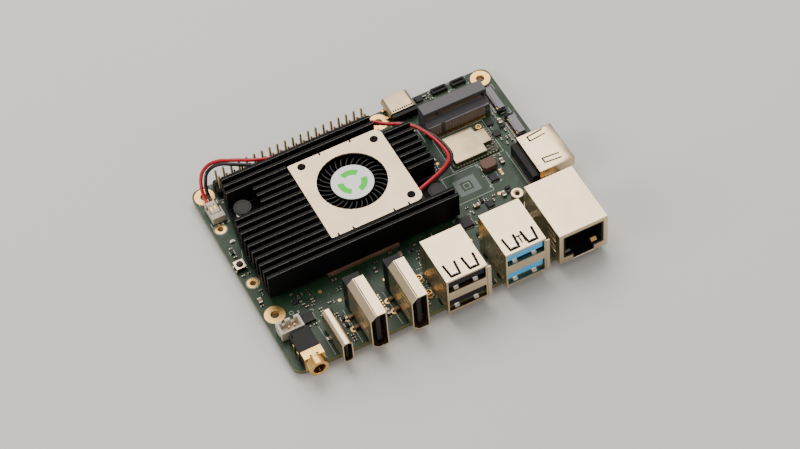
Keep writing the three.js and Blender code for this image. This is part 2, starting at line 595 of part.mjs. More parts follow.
const CHIPS = [
  { name: "audio_codec_chip", x: [9.6, 13.0], y: [13.8, 17.2], height: 0.9 },
  { name: "usb_hub_chip", x: [64.4, 68.4], y: [21.6, 25.4], height: 0.9 },
  { name: "power_chip", x: [80.4, 82.9], y: [33.0, 35.5], height: 0.8 },
  { name: "back_socket_left", x: [80.8, 85.8], y: [71.4, 73.6], height: 1.0 },
  { name: "back_socket_right", x: [87.4, 92.0], y: [71.3, 73.5], height: 1.0 },
];

// ---------- assembly ----------
addNode("heatsink", heatsink(), "anodised");
addNode("main_processor", block(PROCESSOR.x, PROCESSOR.y, PROCESSOR.z), "substrate");
addNode("thermal_pad", block(THERMAL_PAD.x, THERMAL_PAD.y, THERMAL_PAD.z), "pad");
addNode("memory_chip_1", block(MEMORY.x, MEMORY.y, MEMORY.z), "epoxy");
PUSH_PIN.at.forEach((at, i) => {
  addNode(`push_pin_${i + 1}`, pushPin(at), "blackPlastic");
  addNode(`push_pin_spring_${i + 1}`, pinSpring(at), "steel");
});

addNode("fan_housing", fanHousing(), "blackPlastic");
addNode("fan_plate", fanPlate(), "fanPlate");
addNode("fan_rotor", fanRotor(), "blackPlastic");
addNode("fan_hub_label", drum(FAN.axis, FAN.hub - 0.1, [FAN.hubZ[1] + 0.05, FAN.hubZ[1] + 0.15], 28), "whitePlastic");
FAN.screws.forEach((at, i) => addNode(`fan_screw_${i + 1}`, fanScrew(at), "steel"));
addNode("fan_wire_red", leadWire(RED_ROUTE), "redWire");
addNode("fan_wire_black", leadWire(BLACK_ROUTE), "blackWire");
addNode("fan_plug", block(LEAD_SOCKET.plugX, LEAD_SOCKET.plugY, LEAD_SOCKET.plugZ), "whitePlastic");
addNode("fan_socket", fanSocket(), "whitePlastic");

const headerBase = block(
  [HEADER.x - (HEADER.columns * HEADER.pitch) / 2, HEADER.x + (HEADER.columns * HEADER.pitch) / 2],
  [HEADER.y - HEADER.pitch, HEADER.y + HEADER.pitch],
  [SEAT, HEADER.base],
);
const halfPin = HEADER.pin / 2;
const headerPins = headerPinCentres().map(([x, y]) =>
  block([x - halfPin, x + halfPin], [y - halfPin, y + halfPin], [BELOW, HEADER.top]),
);
addNode("gpio_header", join(headerBase, ...headerPins), "gold");

addNode("usb2_shell", usbShell(USB2_X), "nickel");
addNode("usb2_core", usbInsert(USB2_X), "blackPlastic");
addNode("usb3_shell", usbShell(USB3_X), "nickel");
addNode("usb3_core", usbInsert(USB3_X), "bluePlastic");
addNode("network_port_shell", rj45Shell(), "nickel");
addNode("network_port_core", rj45Insert(), "blackPlastic");
UPRIGHT_HDMI.lefts.forEach((left, i) => {
  addNode(`hdmi_${i + 1}_shell`, uprightHdmiShell(left), "nickel");
  addNode(`hdmi_${i + 1}_core`, uprightHdmiInsert(left), "blackPlastic");
});
addNode("hdmi_side_shell", sideHdmiShell(), "nickel");
addNode("hdmi_side_core", sideHdmiInsert(), "blackPlastic");
const upright = uprightUsbC();
addNode("usb_c_front_shell", upright.shell, "nickel");
addNode("usb_c_front_core", upright.tongue, "blackPlastic");
const flat = flatUsbC();
addNode("usb_c_back_shell", flat.shell, "nickel");
addNode("usb_c_back_core", flat.tongue, "blackPlastic");

addNode("audio_jack_body", audioBody(), "blackPlastic");
addNode("audio_jack_barrel", audioBarrel(), "gold");
addNode("battery_connector", batteryConnector(), "whitePlastic");
addNode("m2_socket", m2Socket(), "greyPlastic");
const standoffZ = [SEAT, STANDOFF.height];
const standoffBore = drum(STANDOFF.at, STANDOFF.bore, [1, STANDOFF.height + 1], 12);
addNode("m2_standoff", cut(drum(STANDOFF.at, STANDOFF.radius, standoffZ, 20), standoffBore), "steel");
for (const ribbon of RIBBON) {
  addNode(`${ribbon.name}_body`, ribbonBody(ribbon), "blackPlastic");
  addNode(`${ribbon.name}_latch`, ribbonLatch(ribbon), "greyPlastic");
}
addNode("wifi_module", block(RADIO.x, RADIO.y, [SEAT, RADIO.board]), "board");
const shieldZ = [RADIO.board + SEAT, RADIO.shield];
const shieldWing = block([RADIO.shieldX[1] - 0.2, RADIO.wingRight], RADIO.wingY, shieldZ);
const shieldMain = block(RADIO.shieldX, RADIO.shieldY, shieldZ);
addNode("wifi_shield", join(shieldMain, shieldWing), "nickel");
ANTENNAS.forEach((at, i) => addNode(`antenna_connector_${i + 1}`, antennaConnector(at), "gold"));
addNode("power_button_body", buttonBody(), "nickel");
addNode("power_button_plunger", buttonPlunger(), "blackPlastic");
addNode("status_led", block(LIGHT.x, LIGHT.y, LIGHT.z), "whitePlastic");
addNode("inductor", inductor(), "ferrite");
for (const chip of CHIPS) addNode(chip.name, block(chip.x, chip.y, [SEAT, chip.height]), "epoxy");

// The board comes last, because its slots follow the legs of the shells made above.
function circuitBoard() {
  const corners = Array(4).fill(BOARD.corner);
  const plate = slab(roundedRectangle([0, BOARD.width], [0, BOARD.depth], corners), [-BOARD.thick, 0]);
  const through = [-BOARD.thick - 1, 1];
  const slot = ([x, y], a, b) => block([x - a, x + a], [y - b, y + b], through);
  const pinClearance = halfPin + GAP / 2;
  return cut(
    plate,
    ...MOUNT_HOLE.at.map((at) => drum(at, MOUNT_HOLE.radius, through, 16)),
    ...EYELET.at.map((at) => drum(at, EYELET.radius, through, 12)),
    ...PUSH_PIN.at.map((at) => drum(at, PUSH_PIN.bore, through, 12)),
    ...headerPinCentres().map((at) => slot(at, pinClearance, pinClearance)),
    ...legSlots.map((at) => slot(at, LEG.thick / 2 + GAP, LEG.long / 2 + GAP)),
  );
}
addNode("circuit_board", circuitBoard(), "board");

const computer = new THREE.Group();
computer.add(nodes);

export default computer;
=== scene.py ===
"""Looks of a single board computer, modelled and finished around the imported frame.

Everything is in metres in the end. Inside the classes, sizes and places are board millimetres: x from the
board's left edge, y from its front edge and z from its top face, turned into metres by spot().
"""

import logging
import math
import random
from contextlib import contextmanager
from dataclasses import dataclass
from enum import Enum
from functools import lru_cache
from typing import Callable, Iterator, Sequence

import bpy
from mathutils import Matrix, Vector


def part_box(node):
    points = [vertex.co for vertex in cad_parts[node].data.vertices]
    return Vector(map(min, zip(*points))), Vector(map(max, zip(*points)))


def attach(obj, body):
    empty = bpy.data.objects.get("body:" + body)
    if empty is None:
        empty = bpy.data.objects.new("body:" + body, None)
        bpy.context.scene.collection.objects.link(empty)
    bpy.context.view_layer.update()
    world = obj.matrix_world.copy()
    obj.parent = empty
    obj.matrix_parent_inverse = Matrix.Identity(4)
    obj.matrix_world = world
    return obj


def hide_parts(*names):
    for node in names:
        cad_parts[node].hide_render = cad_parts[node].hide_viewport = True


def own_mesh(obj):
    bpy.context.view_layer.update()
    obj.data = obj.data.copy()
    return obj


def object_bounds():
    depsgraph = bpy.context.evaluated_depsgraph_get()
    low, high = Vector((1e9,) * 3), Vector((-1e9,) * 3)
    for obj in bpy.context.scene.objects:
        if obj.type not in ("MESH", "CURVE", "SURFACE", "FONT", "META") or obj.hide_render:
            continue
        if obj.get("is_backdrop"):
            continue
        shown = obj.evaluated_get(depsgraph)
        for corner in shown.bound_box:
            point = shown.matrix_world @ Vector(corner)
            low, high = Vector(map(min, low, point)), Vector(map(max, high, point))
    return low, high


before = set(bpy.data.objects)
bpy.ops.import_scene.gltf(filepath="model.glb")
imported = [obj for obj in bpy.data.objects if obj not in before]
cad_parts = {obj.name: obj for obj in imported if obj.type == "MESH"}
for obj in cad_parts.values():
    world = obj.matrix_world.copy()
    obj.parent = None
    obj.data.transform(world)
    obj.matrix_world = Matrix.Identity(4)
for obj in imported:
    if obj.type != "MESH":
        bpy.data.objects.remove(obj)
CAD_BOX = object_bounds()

LOG = logging.getLogger("computer")
MM = 0.001
SEAT = 0.05
BOARD_LOW, BOARD_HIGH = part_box("circuit_board")
BOARD_SIZE = (BOARD_HIGH - BOARD_LOW) / MM
Colour = tuple[float, float, float]
Triple = Sequence[float]
Piece = bpy.types.Object


# ---------- places ----------
def spot(x: float, y: float, z: float) -> Vector:
    """Turns board millimetres into a place in metres."""
    return Vector((BOARD_LOW.x + x * MM, BOARD_LOW.y + y * MM, BOARD_HIGH.z + z * MM))


def node_box(node: str) -> tuple[Vector, Vector]:
    """Finds a CAD node's box.

    Args:
        node: The CAD node's name.

    Returns:
        Its lowest and highest corners.
    """
    corner = Vector((BOARD_LOW.x, BOARD_LOW.y, BOARD_HIGH.z))
    low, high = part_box(node)
    return (low - corner) / MM, (high - corner) / MM


# ---------- tools ----------
class Along(Enum):
    """The turn that lays an upright round bar along an axis."""

    X = (0.0, math.pi / 2, 0.0)
    Y = (-math.pi / 2, 0.0, 0.0)
    Z = (0.0, 0.0, 0.0)


def deselect() -> None:
    """Deselects every object."""
    bpy.ops.object.select_all(action="DESELECT")


def pick(piece: Piece) -> None:
    """Selects one object and makes it the active one.

    Args:
        piece: The object.
    """
    deselect()
    piece.select_set(True)
    bpy.context.view_layer.objects.active = piece


def settled(name: str) -> Piece:
    """Names the primitive that was just added, and moves its place into its mesh.

    Args:
        name: The new object's name.

    Returns:
        The object.
    """
    piece = bpy.context.object
    piece.name = name
    pick(piece)
    bpy.ops.object.transform_apply(location=True, rotation=True, scale=True)
    return piece


def box(name: str, x: Triple, y: Triple, z: Triple) -> Piece:
    """Adds a box.

    Args:
        name: The object's name.
        x: Its lowest and highest x.
        y: The same along y.
        z: The same along z.

    Returns:
        The box.
    """
    deselect()
    low, high = spot(x[0], y[0], z[0]), spot(x[1], y[1], z[1])
    bpy.ops.mesh.primitive_cube_add(size=1, location=(low + high) / 2, scale=high - low)
    return settled(name)


def span(name: str, low: Vector, high: Vector) -> Piece:
    """Adds a box between two corners."""
    return box(name, (low.x, high.x), (low.y, high.y), (low.z, high.z))


def middle_of(low: Vector, high: Vector) -> tuple[float, float]:
    """Gives the x and y of a box's middle."""
    return (low.x + high.x) / 2, (low.y + high.y) / 2


def drum(
    name: str,
    base: Triple,
    radius: float,
    length: float,
    sides: int = 32,
    along: Along = Along.Z,
    tip: float | None = None,
) -> Piece:
    """Adds a round bar or a cone.

    Args:
        name: The object's name.
        base: The centre of its first end.
        radius: The first end's radius.
        length: Its length along the axis.
        sides: How many sides it has.
        along: The axis it lies along.
        tip: The other end's radius, where it isn't the same.

    Returns:
        The bar.
    """
    deselect()
    shift = {Along.X: (length / 2, 0, 0), Along.Y: (0, length / 2, 0), Along.Z: (0, 0, length / 2)}[along]
    bpy.ops.mesh.primitive_cone_add(
        vertices=sides,
        radius1=radius * MM,
        radius2=(radius if tip is None else tip) * MM,
        depth=length * MM,
        location=spot(*(b + s for b, s in zip(base, shift))),
        rotation=along.value,
    )
    return settled(name)


def bar_between(name: str, start: Triple, end: Triple, width: float, thick: float) -> Piece:
    """Adds a flat bar between two points that lie at one height.

    Args:
        name: The object's name.
        start: The middle of its first end.
        end: The middle of its other end.
        width: Its width across.
        thick: Its height, half above and half below the points.

    Returns:
        The bar.
    """
    run = Vector(end) - Vector(start)
    middle = (Vector(end) + Vector(start)) / 2
    deselect()
    bpy.ops.mesh.primitive_cube_add(
        size=1,
        location=spot(*middle),
        scale=(run.length * MM, width * MM, thick * MM),
        rotation=(0, 0, math.atan2(run.y, run.x)),
    )
    return settled(name)


@contextmanager
def shaping(piece: Piece, faces: Callable[[bpy.types.MeshPolygon], bool] | None = None) -> Iterator[None]:
    """Opens a piece in edit mode with chosen faces selected, and closes it again.

    Args:
        piece: The piece to shape.
        faces: Tells whether a face is chosen. All are where this is left out.

    Yields:
        Nothing; the operators inside act on the chosen faces.
    """
    pick(piece)
    bpy.ops.object.mode_set(mode="EDIT")
    bpy.ops.mesh.select_mode(type="FACE")
    bpy.ops.mesh.select_all(action="SELECT" if faces is None else "DESELECT")
    if faces is not None:
        bpy.ops.object.mode_set(mode="OBJECT")
        for face in piece.data.polygons:
            face.select = faces(face)
        bpy.ops.object.mode_set(mode="EDIT")
    yield
    bpy.ops.object.mode_set(mode="OBJECT")


def facing(x: float = 0, y: float = 0, z: float = 0) -> Callable[[bpy.types.MeshPolygon], bool]:
    """Makes a test for the faces that look in one direction."""
    return lambda face: face.normal.dot(Vector((x, y, z))) > 0.9


def apply_modifier(piece: Piece, kind: str, **settings: object) -> None:
    """Adds a modifier with these settings and applies it.

    Args:
        piece: The piece to change.
        kind: The modifier's type.
        **settings: Its settings by name.
    """
    modifier = piece.modifiers.new(kind.lower(), kind)
    for name, value in settings.items():
        setattr(modifier, name, value)
    pick(piece)
    bpy.ops.object.modifier_apply(modifier=modifier.name)


def merge(name: str, pieces: Sequence[Piece]) -> Piece:
    """Joins several pieces into one object.

    Args:
        name: The joined object's name.
        pieces: The pieces, which keep their materials.

    Returns:
        The joined object.
    """
    pick(pieces[0])
    for piece in pieces[1:]:
        piece.select_set(True)
    if len(pieces) > 1:
        bpy.ops.object.join()
    pieces[0].name = name
    return pieces[0]


def carve(piece: Piece, *cutters: Piece) -> Piece:
    """Cuts the shapes of some pieces out of another, and removes them.

    Args:
        piece: The piece to cut.
        *cutters: The pieces that do the cutting.

    Returns:
        The cut piece.
    """
    cutter = merge("cutter", list(cutters))
    apply_modifier(piece, "BOOLEAN", operation="DIFFERENCE", solver="EXACT", object=cutter, use_self=True)
    bpy.data.objects.remove(cutter)
    return piece


def soften(piece: Piece, width: float = 0.1, segments: int = 2) -> Piece:
    """Rounds a piece's sharp edges and shades it smooth.

    Args:
        piece: The piece to round.
        width: The bevel's width in millimetres.
        segments: The bevel's segments.

    Returns:
        The piece.
    """
    apply_modifier(
        piece,
        "BEVEL",
        width=width * MM,
        segments=segments,
        limit_method="ANGLE",
        angle_limit=math.radians(28),
        use_clamp_overlap=True,
    )
    pick(piece)
    bpy.ops.object.shade_smooth_by_angle(angle=math.radians(40))
    apply_modifier(piece, "WEIGHTED_NORMAL", weight=100, keep_sharp=True)
    return piece


def row(piece: Piece, count: int, step: Triple) -> Piece:
    """Repeats a piece at even steps, inside one mesh.

    Args:
        piece: The first of the row.
        count: How many there are.
        step: The step between two.

    Returns:
        The row.
    """
    apply_modifier(
        piece,
        "ARRAY",
        count=count,
        use_relative_offset=False,
        use_constant_offset=True,
        constant_offset_displace=[s * MM for s in step],
    )
    return piece


def outward(piece: Piece) -> Piece:
    """Turns all of a piece's faces outwards.

    Args:
        piece: The piece to turn.

    Returns:
        The piece.
    """
    with shaping(piece):
        bpy.ops.mesh.normals_make_consistent(inside=False)
    return piece


def copied(
    piece: Piece, name: str, shift: Triple = (0, 0, 0), turn: float = 0.0, about: Triple | None = None
) -> Piece:
    """Copies a piece with a mesh of its own.

    Args:
        piece: The piece to copy.
        name: The copy's name.
        shift: How far the copy moves.
        turn: How far it turns about an upright axis, in degrees, before it moves.
        about: A point on that axis.

    Returns:
        The copy.
    """
    copy = bpy.data.objects.new(name, piece.data.copy())
    bpy.context.scene.collection.objects.link(copy)
    centre = Matrix.Translation(spot(*about) if about else Vector())
    turned = centre @ Matrix.Rotation(math.radians(turn), 4, "Z") @ centre.inverted()
    copy.data.transform(Matrix.Translation(Vector(shift) * MM) @ turned)
    return copy


def tilt(piece: Piece, degrees: float, axis: str, about: Triple) -> Piece:
    """Turns a piece about a point.

    Args:
        piece: The piece to turn.
        degrees: How far.
        axis: X, Y or Z.
        about: The point.

    Returns:
        The piece.
    """
    centre = Matrix.Translation(spot(*about))
    piece.data.transform(centre @ Matrix.Rotation(math.radians(degrees), 4, axis) @ centre.inverted())
    return piece


def traced(node: str, name: str, bevel: float = 0.1, segments: int = 2) -> Piece:
    """Makes a merged copy of a CAD node with rounded edges.

    Args:
        node: The CAD node's name.
        name: The copy's name.
        bevel: The width of its rounded edges.
        segments: The segments of each rounded edge.

    Returns:
        The copy.
    """
    piece = bpy.data.objects.new(name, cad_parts[node].data.copy())
    bpy.context.scene.collection.objects.link(piece)
    with shaping(piece):
        bpy.ops.mesh.remove_doubles(threshold=0.002 * MM)
        bpy.ops.mesh.dissolve_limited(angle_limit=math.radians(1))
    bpy.ops.mesh.customdata_custom_splitnormals_clear()
    return soften(piece, bevel, segments)


def washer(
    name: str,
    centre: Triple,
    inner: float,
    outer: float,
    height: float,
    along: Along = Along.Z,
    sides: int = 36,
) -> Piece:
    """Adds a flat ring or a tube.

    Args:
        name: The object's name.
        centre: The centre of its first face.
        inner: The hole's radius.
        outer: The ring's radius.
        height: Its length along the axis.
        along: The axis it lies along.
        sides: How many sides it has.

    Returns:
        The ring.
    """
    ring = drum(name, centre, outer, height, sides, along)
    with shaping(ring, lambda face: len(face.vertices) > 4):
        bpy.ops.mesh.inset(thickness=(outer - inner) * MM * math.cos(math.pi / sides), use_individual=True)
        bpy.ops.mesh.bridge_edge_loops()
    return ring


def leaf_slot(x: Triple, y: Triple, z: Triple, side: float, end: float = 0.0) -> list[Piece]:
    """Makes the cutters of a slot round a spring leaf in an upright wall.

    Args:
        x: How far the cutters reach through the wall.
        y: Where the leaf's tip and its root are.
        z: The slot's lowest and highest z.
        side: The slot's width along the leaf.
        end: Its width across the leaf's tip, where it goes round it.

    Returns:
        The cutters.
    """
    start = y[0] + max(end - 0.1, 0.0)
    cutters = [box("slot", x, (start, y[1]), (edge, edge + side)) for edge in (z[0], z[1] - side)]
    if end:
        cutters.append(box("slot", x, (y[0], y[0] + end), z))
    return cutters


def top_slots(z: float, deep: float, *lines: tuple[float, float, float, float, float]) -> list[Piece]:
    """Makes the cutters of straight slots in a flat top.

    Args:
        z: The top's height.
        deep: The cutters' height.
        *lines: Where each slot starts and ends, as x, y, x and y, and its width.

    Returns:
        The cutters.
    """
    return [bar_between("slot", (x0, y0, z), (x1, y1, z), width, deep) for x0, y0, x1, y1, width in lines]


# ---------- finishes ----------
class Graph:
    """A material's node tree, written from the pattern to the shader."""

    def __init__(self, name: str) -> None:
        """Starts a material with a Principled shader.

        Args:
            name: The material's name.
        """
        self.material = bpy.data.materials.new(name)
        self.material.use_nodes = True
        self.tree = self.material.node_tree
        self.shader = self.tree.nodes["Principled BSDF"]
        self.place = self.node("ShaderNodeTexCoord").outputs["Object"]

    def node(self, kind: str, inputs: dict | None = None, **settings: object) -> bpy.types.Node:
        """Adds a node.

        Args:
            kind: The node's type.
            inputs: Values or sockets for its inputs, by name or number.
            **settings: The node's settings by name.

        Returns:
            The node.
        """
        made = self.tree.nodes.new(kind)
        for name, value in settings.items():
            setattr(made, name, value)
        for name, value in (inputs or {}).items():
            self.feed(made.inputs[name], value)
        return made

    def feed(self, socket: bpy.types.NodeSocket, value: object) -> None:
        """Links a socket to an input, or sets the input's own value.

        Args:
            socket: The input.
            value: A socket or a plain value.
        """
        if isinstance(value, bpy.types.NodeSocket):
            self.tree.links.new(value, socket)
        else:
            socket.default_value = value

    def stretched(self, scale: Triple) -> bpy.types.NodeSocket:
        """Gives the object's coordinates, scaled along each axis."""
        return self.node("ShaderNodeMapping", {"Vector": self.place, "Scale": scale}).outputs["Vector"]

    def noise(self, scale: float, detail: float = 3.0, where: object = None) -> bpy.types.NodeSocket:
        """Gives a noise pattern with this many features to a metre."""
        inputs = {"Vector": where or self.place, "Scale": scale, "Detail": detail}
        return self.node("ShaderNodeTexNoise", inputs).outputs[0]

    def ranged(
        self, value: object, low: float, high: float, start: float = 0.3, end: float = 0.7
    ) -> bpy.types.NodeSocket:
        """Spreads a pattern between two numbers.

        Args:
            value: The pattern.
            low: What start turns into.
            high: What end turns into.
            start: The pattern's value for low.
            end: The pattern's value for high.

        Returns:
            The spread pattern.
        """
        inputs = {0: value, 1: start, 2: end, 3: low, 4: high}
        return self.node("ShaderNodeMapRange", inputs).outputs[0]

    def math(self, operation: str, first: object, second: object = 0.0) -> bpy.types.NodeSocket:
        """Combines two numbers."""
        return self.node("ShaderNodeMath", {0: first, 1: second}, operation=operation).outputs[0]

    def mixed(self, factor: object, first: object, second: object) -> bpy.types.NodeSocket:
        """Mixes two colours.

        Args:
            factor: How much of the second there is.
            first: A colour or a socket.
            second: The other.

        Returns:
            The mixed colour.
        """
        colours = [c if isinstance(c, bpy.types.NodeSocket) else (*c, 1.0) for c in (first, second)]
        inputs = {0: factor, 6: colours[0], 7: colours[1]}
        return self.node("ShaderNodeMix", inputs, data_type="RGBA").outputs[2]

    def bump(self, height: object, strength: float, depth: float) -> None:
        """Gives the shader's surface a relief of this depth in millimetres."""
        inputs = {"Height": height, "Strength": strength, "Distance": depth * MM}
        self.feed(self.shader.inputs["Normal"], self.node("ShaderNodeBump", inputs).outputs[0])

    def surface(self, colour: object, roughness: object, metallic: float = 0.0) -> None:
        """Feeds the shader's colour, roughness and metallic inputs.

        Args:
            colour: Its colour.
            roughness: Its roughness.
            metallic: 1 for a metal.
        """
        self.feed(self.shader.inputs["Base Color"], colour)
        self.feed(self.shader.inputs["Roughness"], roughness)
        self.shader.inputs["Metallic"].default_value = metallic


@dataclass(frozen=True)
class Finish:
    """A finish with a fine grain: moulded plastic, resin, ceramic, ink or paint.

    Attributes:
        name: The material's name.
        base: Its main colour.
        shade: The colour that its mottling leads to.
        roughness: Its middle roughness.
        swing: How far the roughness goes to each side.
        metallic: 1 for a metal.
        mottle: The mottling's features to a metre.
        grain: The grain's features to a metre.
        relief: The grain's strength.
        stretch: How the grain is scaled along each axis.
        gloss: The strength of its mirror reflection.
    """

    name: str
    base: Colour
    shade: Colour
    roughness: float = 0.5
    swing: float = 0.08
    metallic: float = 0.0
    mottle: float = 260.0
    grain: float = 9000.0
    relief: float = 0.12
    stretch: tuple[float, float, float] = (1.0, 1.0, 1.0)
    gloss: float = 0.5

    def graph(self) -> Graph:
        """Builds the node tree.

        Returns:
            The tree, ready to use or to add to.
        """
        graph = Graph(self.name)
        grain = graph.noise(self.grain, 3.0, graph.stretched(self.stretch))
        mottle = graph.noise(self.mottle, 5.0)
        colour = graph.mixed(graph.ranged(mottle, 0.0, 1.0), self.base, self.shade)
        smear = graph.math("ADD", graph.math("MULTIPLY", grain, 0.5), graph.math("MULTIPLY", mottle, 0.5))
        roughness = graph.ranged(smear, self.roughness - self.swing, self.roughness + self.swing)
        graph.surface(colour, roughness, self.metallic)
        graph.bump(grain, self.relief, 0.03)
        graph.shader.inputs["Specular IOR Level"].default_value = self.gloss
        return graph


@dataclass(frozen=True)
class SolderMask(Finish):
    """Green solder resist over copper tracks, with the bare laminate showing on the board's edges.

    Attributes:
        edge: The colour of the bare laminate.
        copper: The colour of resist that lies on copper.
        patch: The size of a patch of parallel tracks, in features to a metre.
        pitch: The tracks' pitch, in tracks to a metre.
        vias: The small plated holes' spread, in holes to a metre.
    """

    edge: Colour = (0.15, 0.15, 0.055)
    copper: Colour = (0.022, 0.055, 0.026)
    patch: float = 150.0
    pitch: float = 1500.0
    vias: float = 420.0

    def tracks(self, graph: Graph) -> bpy.types.NodeSocket:
        """Draws patches of parallel tracks and copper pours.

        Args:
            graph: The board's node tree.

        Returns:
            A pattern that is 1 on copper and 0 between tracks.
        """
        cell = graph.node(
            "ShaderNodeTexVoronoi",
            {"Vector": graph.stretched((1, 1, 0)), "Scale": self.patch},
            distance="CHEBYCHEV",
        )
        pick_one = graph.node("ShaderNodeSeparateXYZ", {0: cell.outputs["Color"]}).outputs[0]
        stripes = []
        for turn in (0.0, math.pi / 2, math.pi / 4):
            turned = graph.node("ShaderNodeMapping", {"Vector": graph.place, "Rotation": (0, 0, turn)})
            x = graph.node("ShaderNodeSeparateXYZ", {0: turned.outputs[0]}).outputs[0]
            wave = graph.math("FRACT", graph.math("MULTIPLY", x, self.pitch))
            stripes.append(graph.math("GREATER_THAN", wave, 0.42))
        across = graph.math("LESS_THAN", pick_one, 0.3)
        along = graph.math("GREATER_THAN", pick_one, 0.72)
        pour = graph.math("GREATER_THAN", graph.noise(90.0, 2.0, graph.stretched((1, 1, 0))), 0.5)
        lines = graph.node("ShaderNodeMix", {0: across, 2: pour, 3: stripes[0]}).outputs[0]
        lines = graph.node("ShaderNodeMix", {0: along, 2: lines, 3: stripes[1]}).outputs[0]
        slanted = graph.math("COMPARE", pick_one, 0.5)
        slanted.node.inputs[2].default_value = 0.06
        return graph.node("ShaderNodeMix", {0: slanted, 2: lines, 3: stripes[2]}).outputs[0]

    def graph(self) -> Graph:
        """Builds the node tree: resist with tracks on the flat faces, laminate on the edges.

        Returns:
            The tree.
        """
        graph = Graph(self.name)
        tracks = self.tracks(graph)
        dots = graph.node("ShaderNodeTexVoronoi", {"Vector": graph.stretched((1, 1, 0)), "Scale": self.vias})
        vias = graph.math("LESS_THAN", dots.outputs["Distance"], 0.11)
        mottle = graph.noise(self.mottle, 5.0)
        resist = graph.mixed(graph.ranged(mottle, 0.0, 1.0), self.base, self.shade)
        resist = graph.mixed(graph.math("MULTIPLY", tracks, 0.75), resist, self.copper)
        resist = graph.mixed(graph.math("MULTIPLY", vias, 0.5), resist, (0.09, 0.12, 0.05))
        normal = graph.node("ShaderNodeNewGeometry").outputs["Normal"]
        upright = graph.node("ShaderNodeSeparateXYZ", {0: normal}).outputs[2]
        flat = graph.math("GREATER_THAN", graph.math("ABSOLUTE", upright), 0.5)
        weave = graph.noise(3000.0, 2.0, graph.stretched((1, 1, 6)))
        laminate = graph.mixed(graph.ranged(weave, 0.0, 1.0), self.edge, (0.09, 0.085, 0.03))
        graph.surface(
            graph.mixed(flat, laminate, resist),
            graph.ranged(mottle, self.roughness - self.swing, self.roughness + self.swing),
        )
        relief = graph.math("ADD", graph.math("MULTIPLY", tracks, 0.7), graph.math("MULTIPLY", weave, 0.15))
        graph.bump(relief, 0.5, 0.03)
        graph.shader.inputs["Specular IOR Level"].default_value = 0.28
        return graph


@dataclass(frozen=True)
class Anodised(Finish):
    """Black anodised metal with a painted highlight on its cut corners that face up and to the front.

    Attributes:
        edge_highlight: The colour of the painted highlight on the corners.
    """

    # painted highlight colour for the cut corners
    edge_highlight: Colour = (0.44, 0.42, 0.39)

    def graph(self) -> Graph:
        """Builds the node tree, with the painted highlight laid on the corners by the way they face.

        Returns:
            The tree.
        """
        graph = super().graph()
        normal = graph.node("ShaderNodeNewGeometry").outputs["True Normal"]
        _, across, upright = graph.node("ShaderNodeSeparateXYZ", {0: normal}).outputs
        slanted = (graph.math("GREATER_THAN", upright, 0.2), graph.math("LESS_THAN", upright, 0.97))
        # painted highlight: slanted faces that look up and to the front take the lighter colour
        corner = graph.math("MULTIPLY", *slanted)
        corner = graph.math("MULTIPLY", corner, graph.math("LESS_THAN", across, -0.1))
        colour = graph.shader.inputs["Base Color"].links[0].from_socket
        graph.feed(graph.shader.inputs["Base Color"], graph.mixed(corner, colour, self.edge_highlight))
        return graph


@lru_cache(maxsize=None)
def material_of(finish: Finish) -> bpy.types.Material:
    """Builds a finish's material once."""
    return finish.graph().material


BOARD = SolderMask("solder_resist", (0.009, 0.028, 0.013), (0.014, 0.036, 0.017), 0.36, 0.08)
NICKEL = Finish("nickel_plate", (0.68, 0.54, 0.36), (0.64, 0.50, 0.33), 0.3, 0.05, 1.0, 120.0, 5000.0, 0.03)
SHEET = Finish("tinned_sheet", (0.48, 0.38, 0.24), (0.42, 0.33, 0.21), 0.38, 0.07, 1.0, 200.0, 5000.0, 0.05)
BRIGHT = Finish(
    "bright_spring", (0.84, 0.79, 0.70), (0.74, 0.69, 0.61), 0.18, 0.06, 1.0, 400.0, 6000.0, 0.05
)
ANODISED = Anodised(
    "black_anodised",
    (0.0035, 0.0035, 0.004),
    (0.006, 0.006, 0.0065),
    0.5,
    0.06,
    relief=0.2,
    grain=12000.0,
    gloss=0.1,
)
FAN_PLATE = Finish(
    "brushed_plate", (0.66, 0.52, 0.35), (0.62, 0.48, 0.32), 0.42, 0.05, 0.9, 120.0, 5000.0, 0.06, (1, 14, 1)
)
BLACK = Finish(
    "black_moulding", (0.0045, 0.0045, 0.005), (0.008, 0.008, 0.0085), 0.5, 0.08, relief=0.12, gloss=0.22
)
BLADE = Finish(
    "blade_moulding", (0.006, 0.006, 0.0065), (0.011, 0.010, 0.010), 0.26, 0.05, relief=0.05, gloss=0.2
)
PIN_BLACK = Finish(
    "push_pin_moulding", (0.016, 0.015, 0.0145), (0.024, 0.022, 0.021), 0.55, 0.06, relief=0.3, gloss=0.3
)
GREY = Finish(
    "grey_moulding", (0.045, 0.041, 0.048), (0.058, 0.053, 0.061), 0.4, 0.08, 0.0, 300.0, 8000.0, 0.12
)
LATCH = Finish(
    "latch_moulding", (0.17, 0.155, 0.175), (0.20, 0.18, 0.205), 0.38, 0.08, 0.0, 300.0, 8000.0, 0.1
)
WHITE = Finish(
    "ivory_moulding", (0.58, 0.50, 0.40), (0.50, 0.43, 0.34), 0.45, 0.08, 0.0, 300.0, 8000.0, 0.12
)
BLUE = Finish("blue_moulding", (0.04, 0.42, 0.85), (0.06, 0.47, 0.90), 0.3, 0.06, 0.0, 300.0, 8000.0, 0.1)
GOLD = Finish("gold_flash", (0.72, 0.46, 0.16), (0.64, 0.38, 0.12), 0.3, 0.08, 1.0, 400.0, 6000.0, 0.05)
TIN = Finish("solder", (0.42, 0.39, 0.34), (0.30, 0.28, 0.25), 0.34, 0.12, 1.0, 900.0, 5000.0, 0.3)
RESIN = Finish("chip_resin", (0.008, 0.008, 0.009), (0.014, 0.014, 0.015), 0.5, 0.08, relief=0.2, gloss=0.3)
SCREW_BLACK = Finish(
    "screw_black", (0.002, 0.002, 0.002), (0.004, 0.004, 0.004), 0.6, 0.06, relief=0.1, gloss=0.12
)
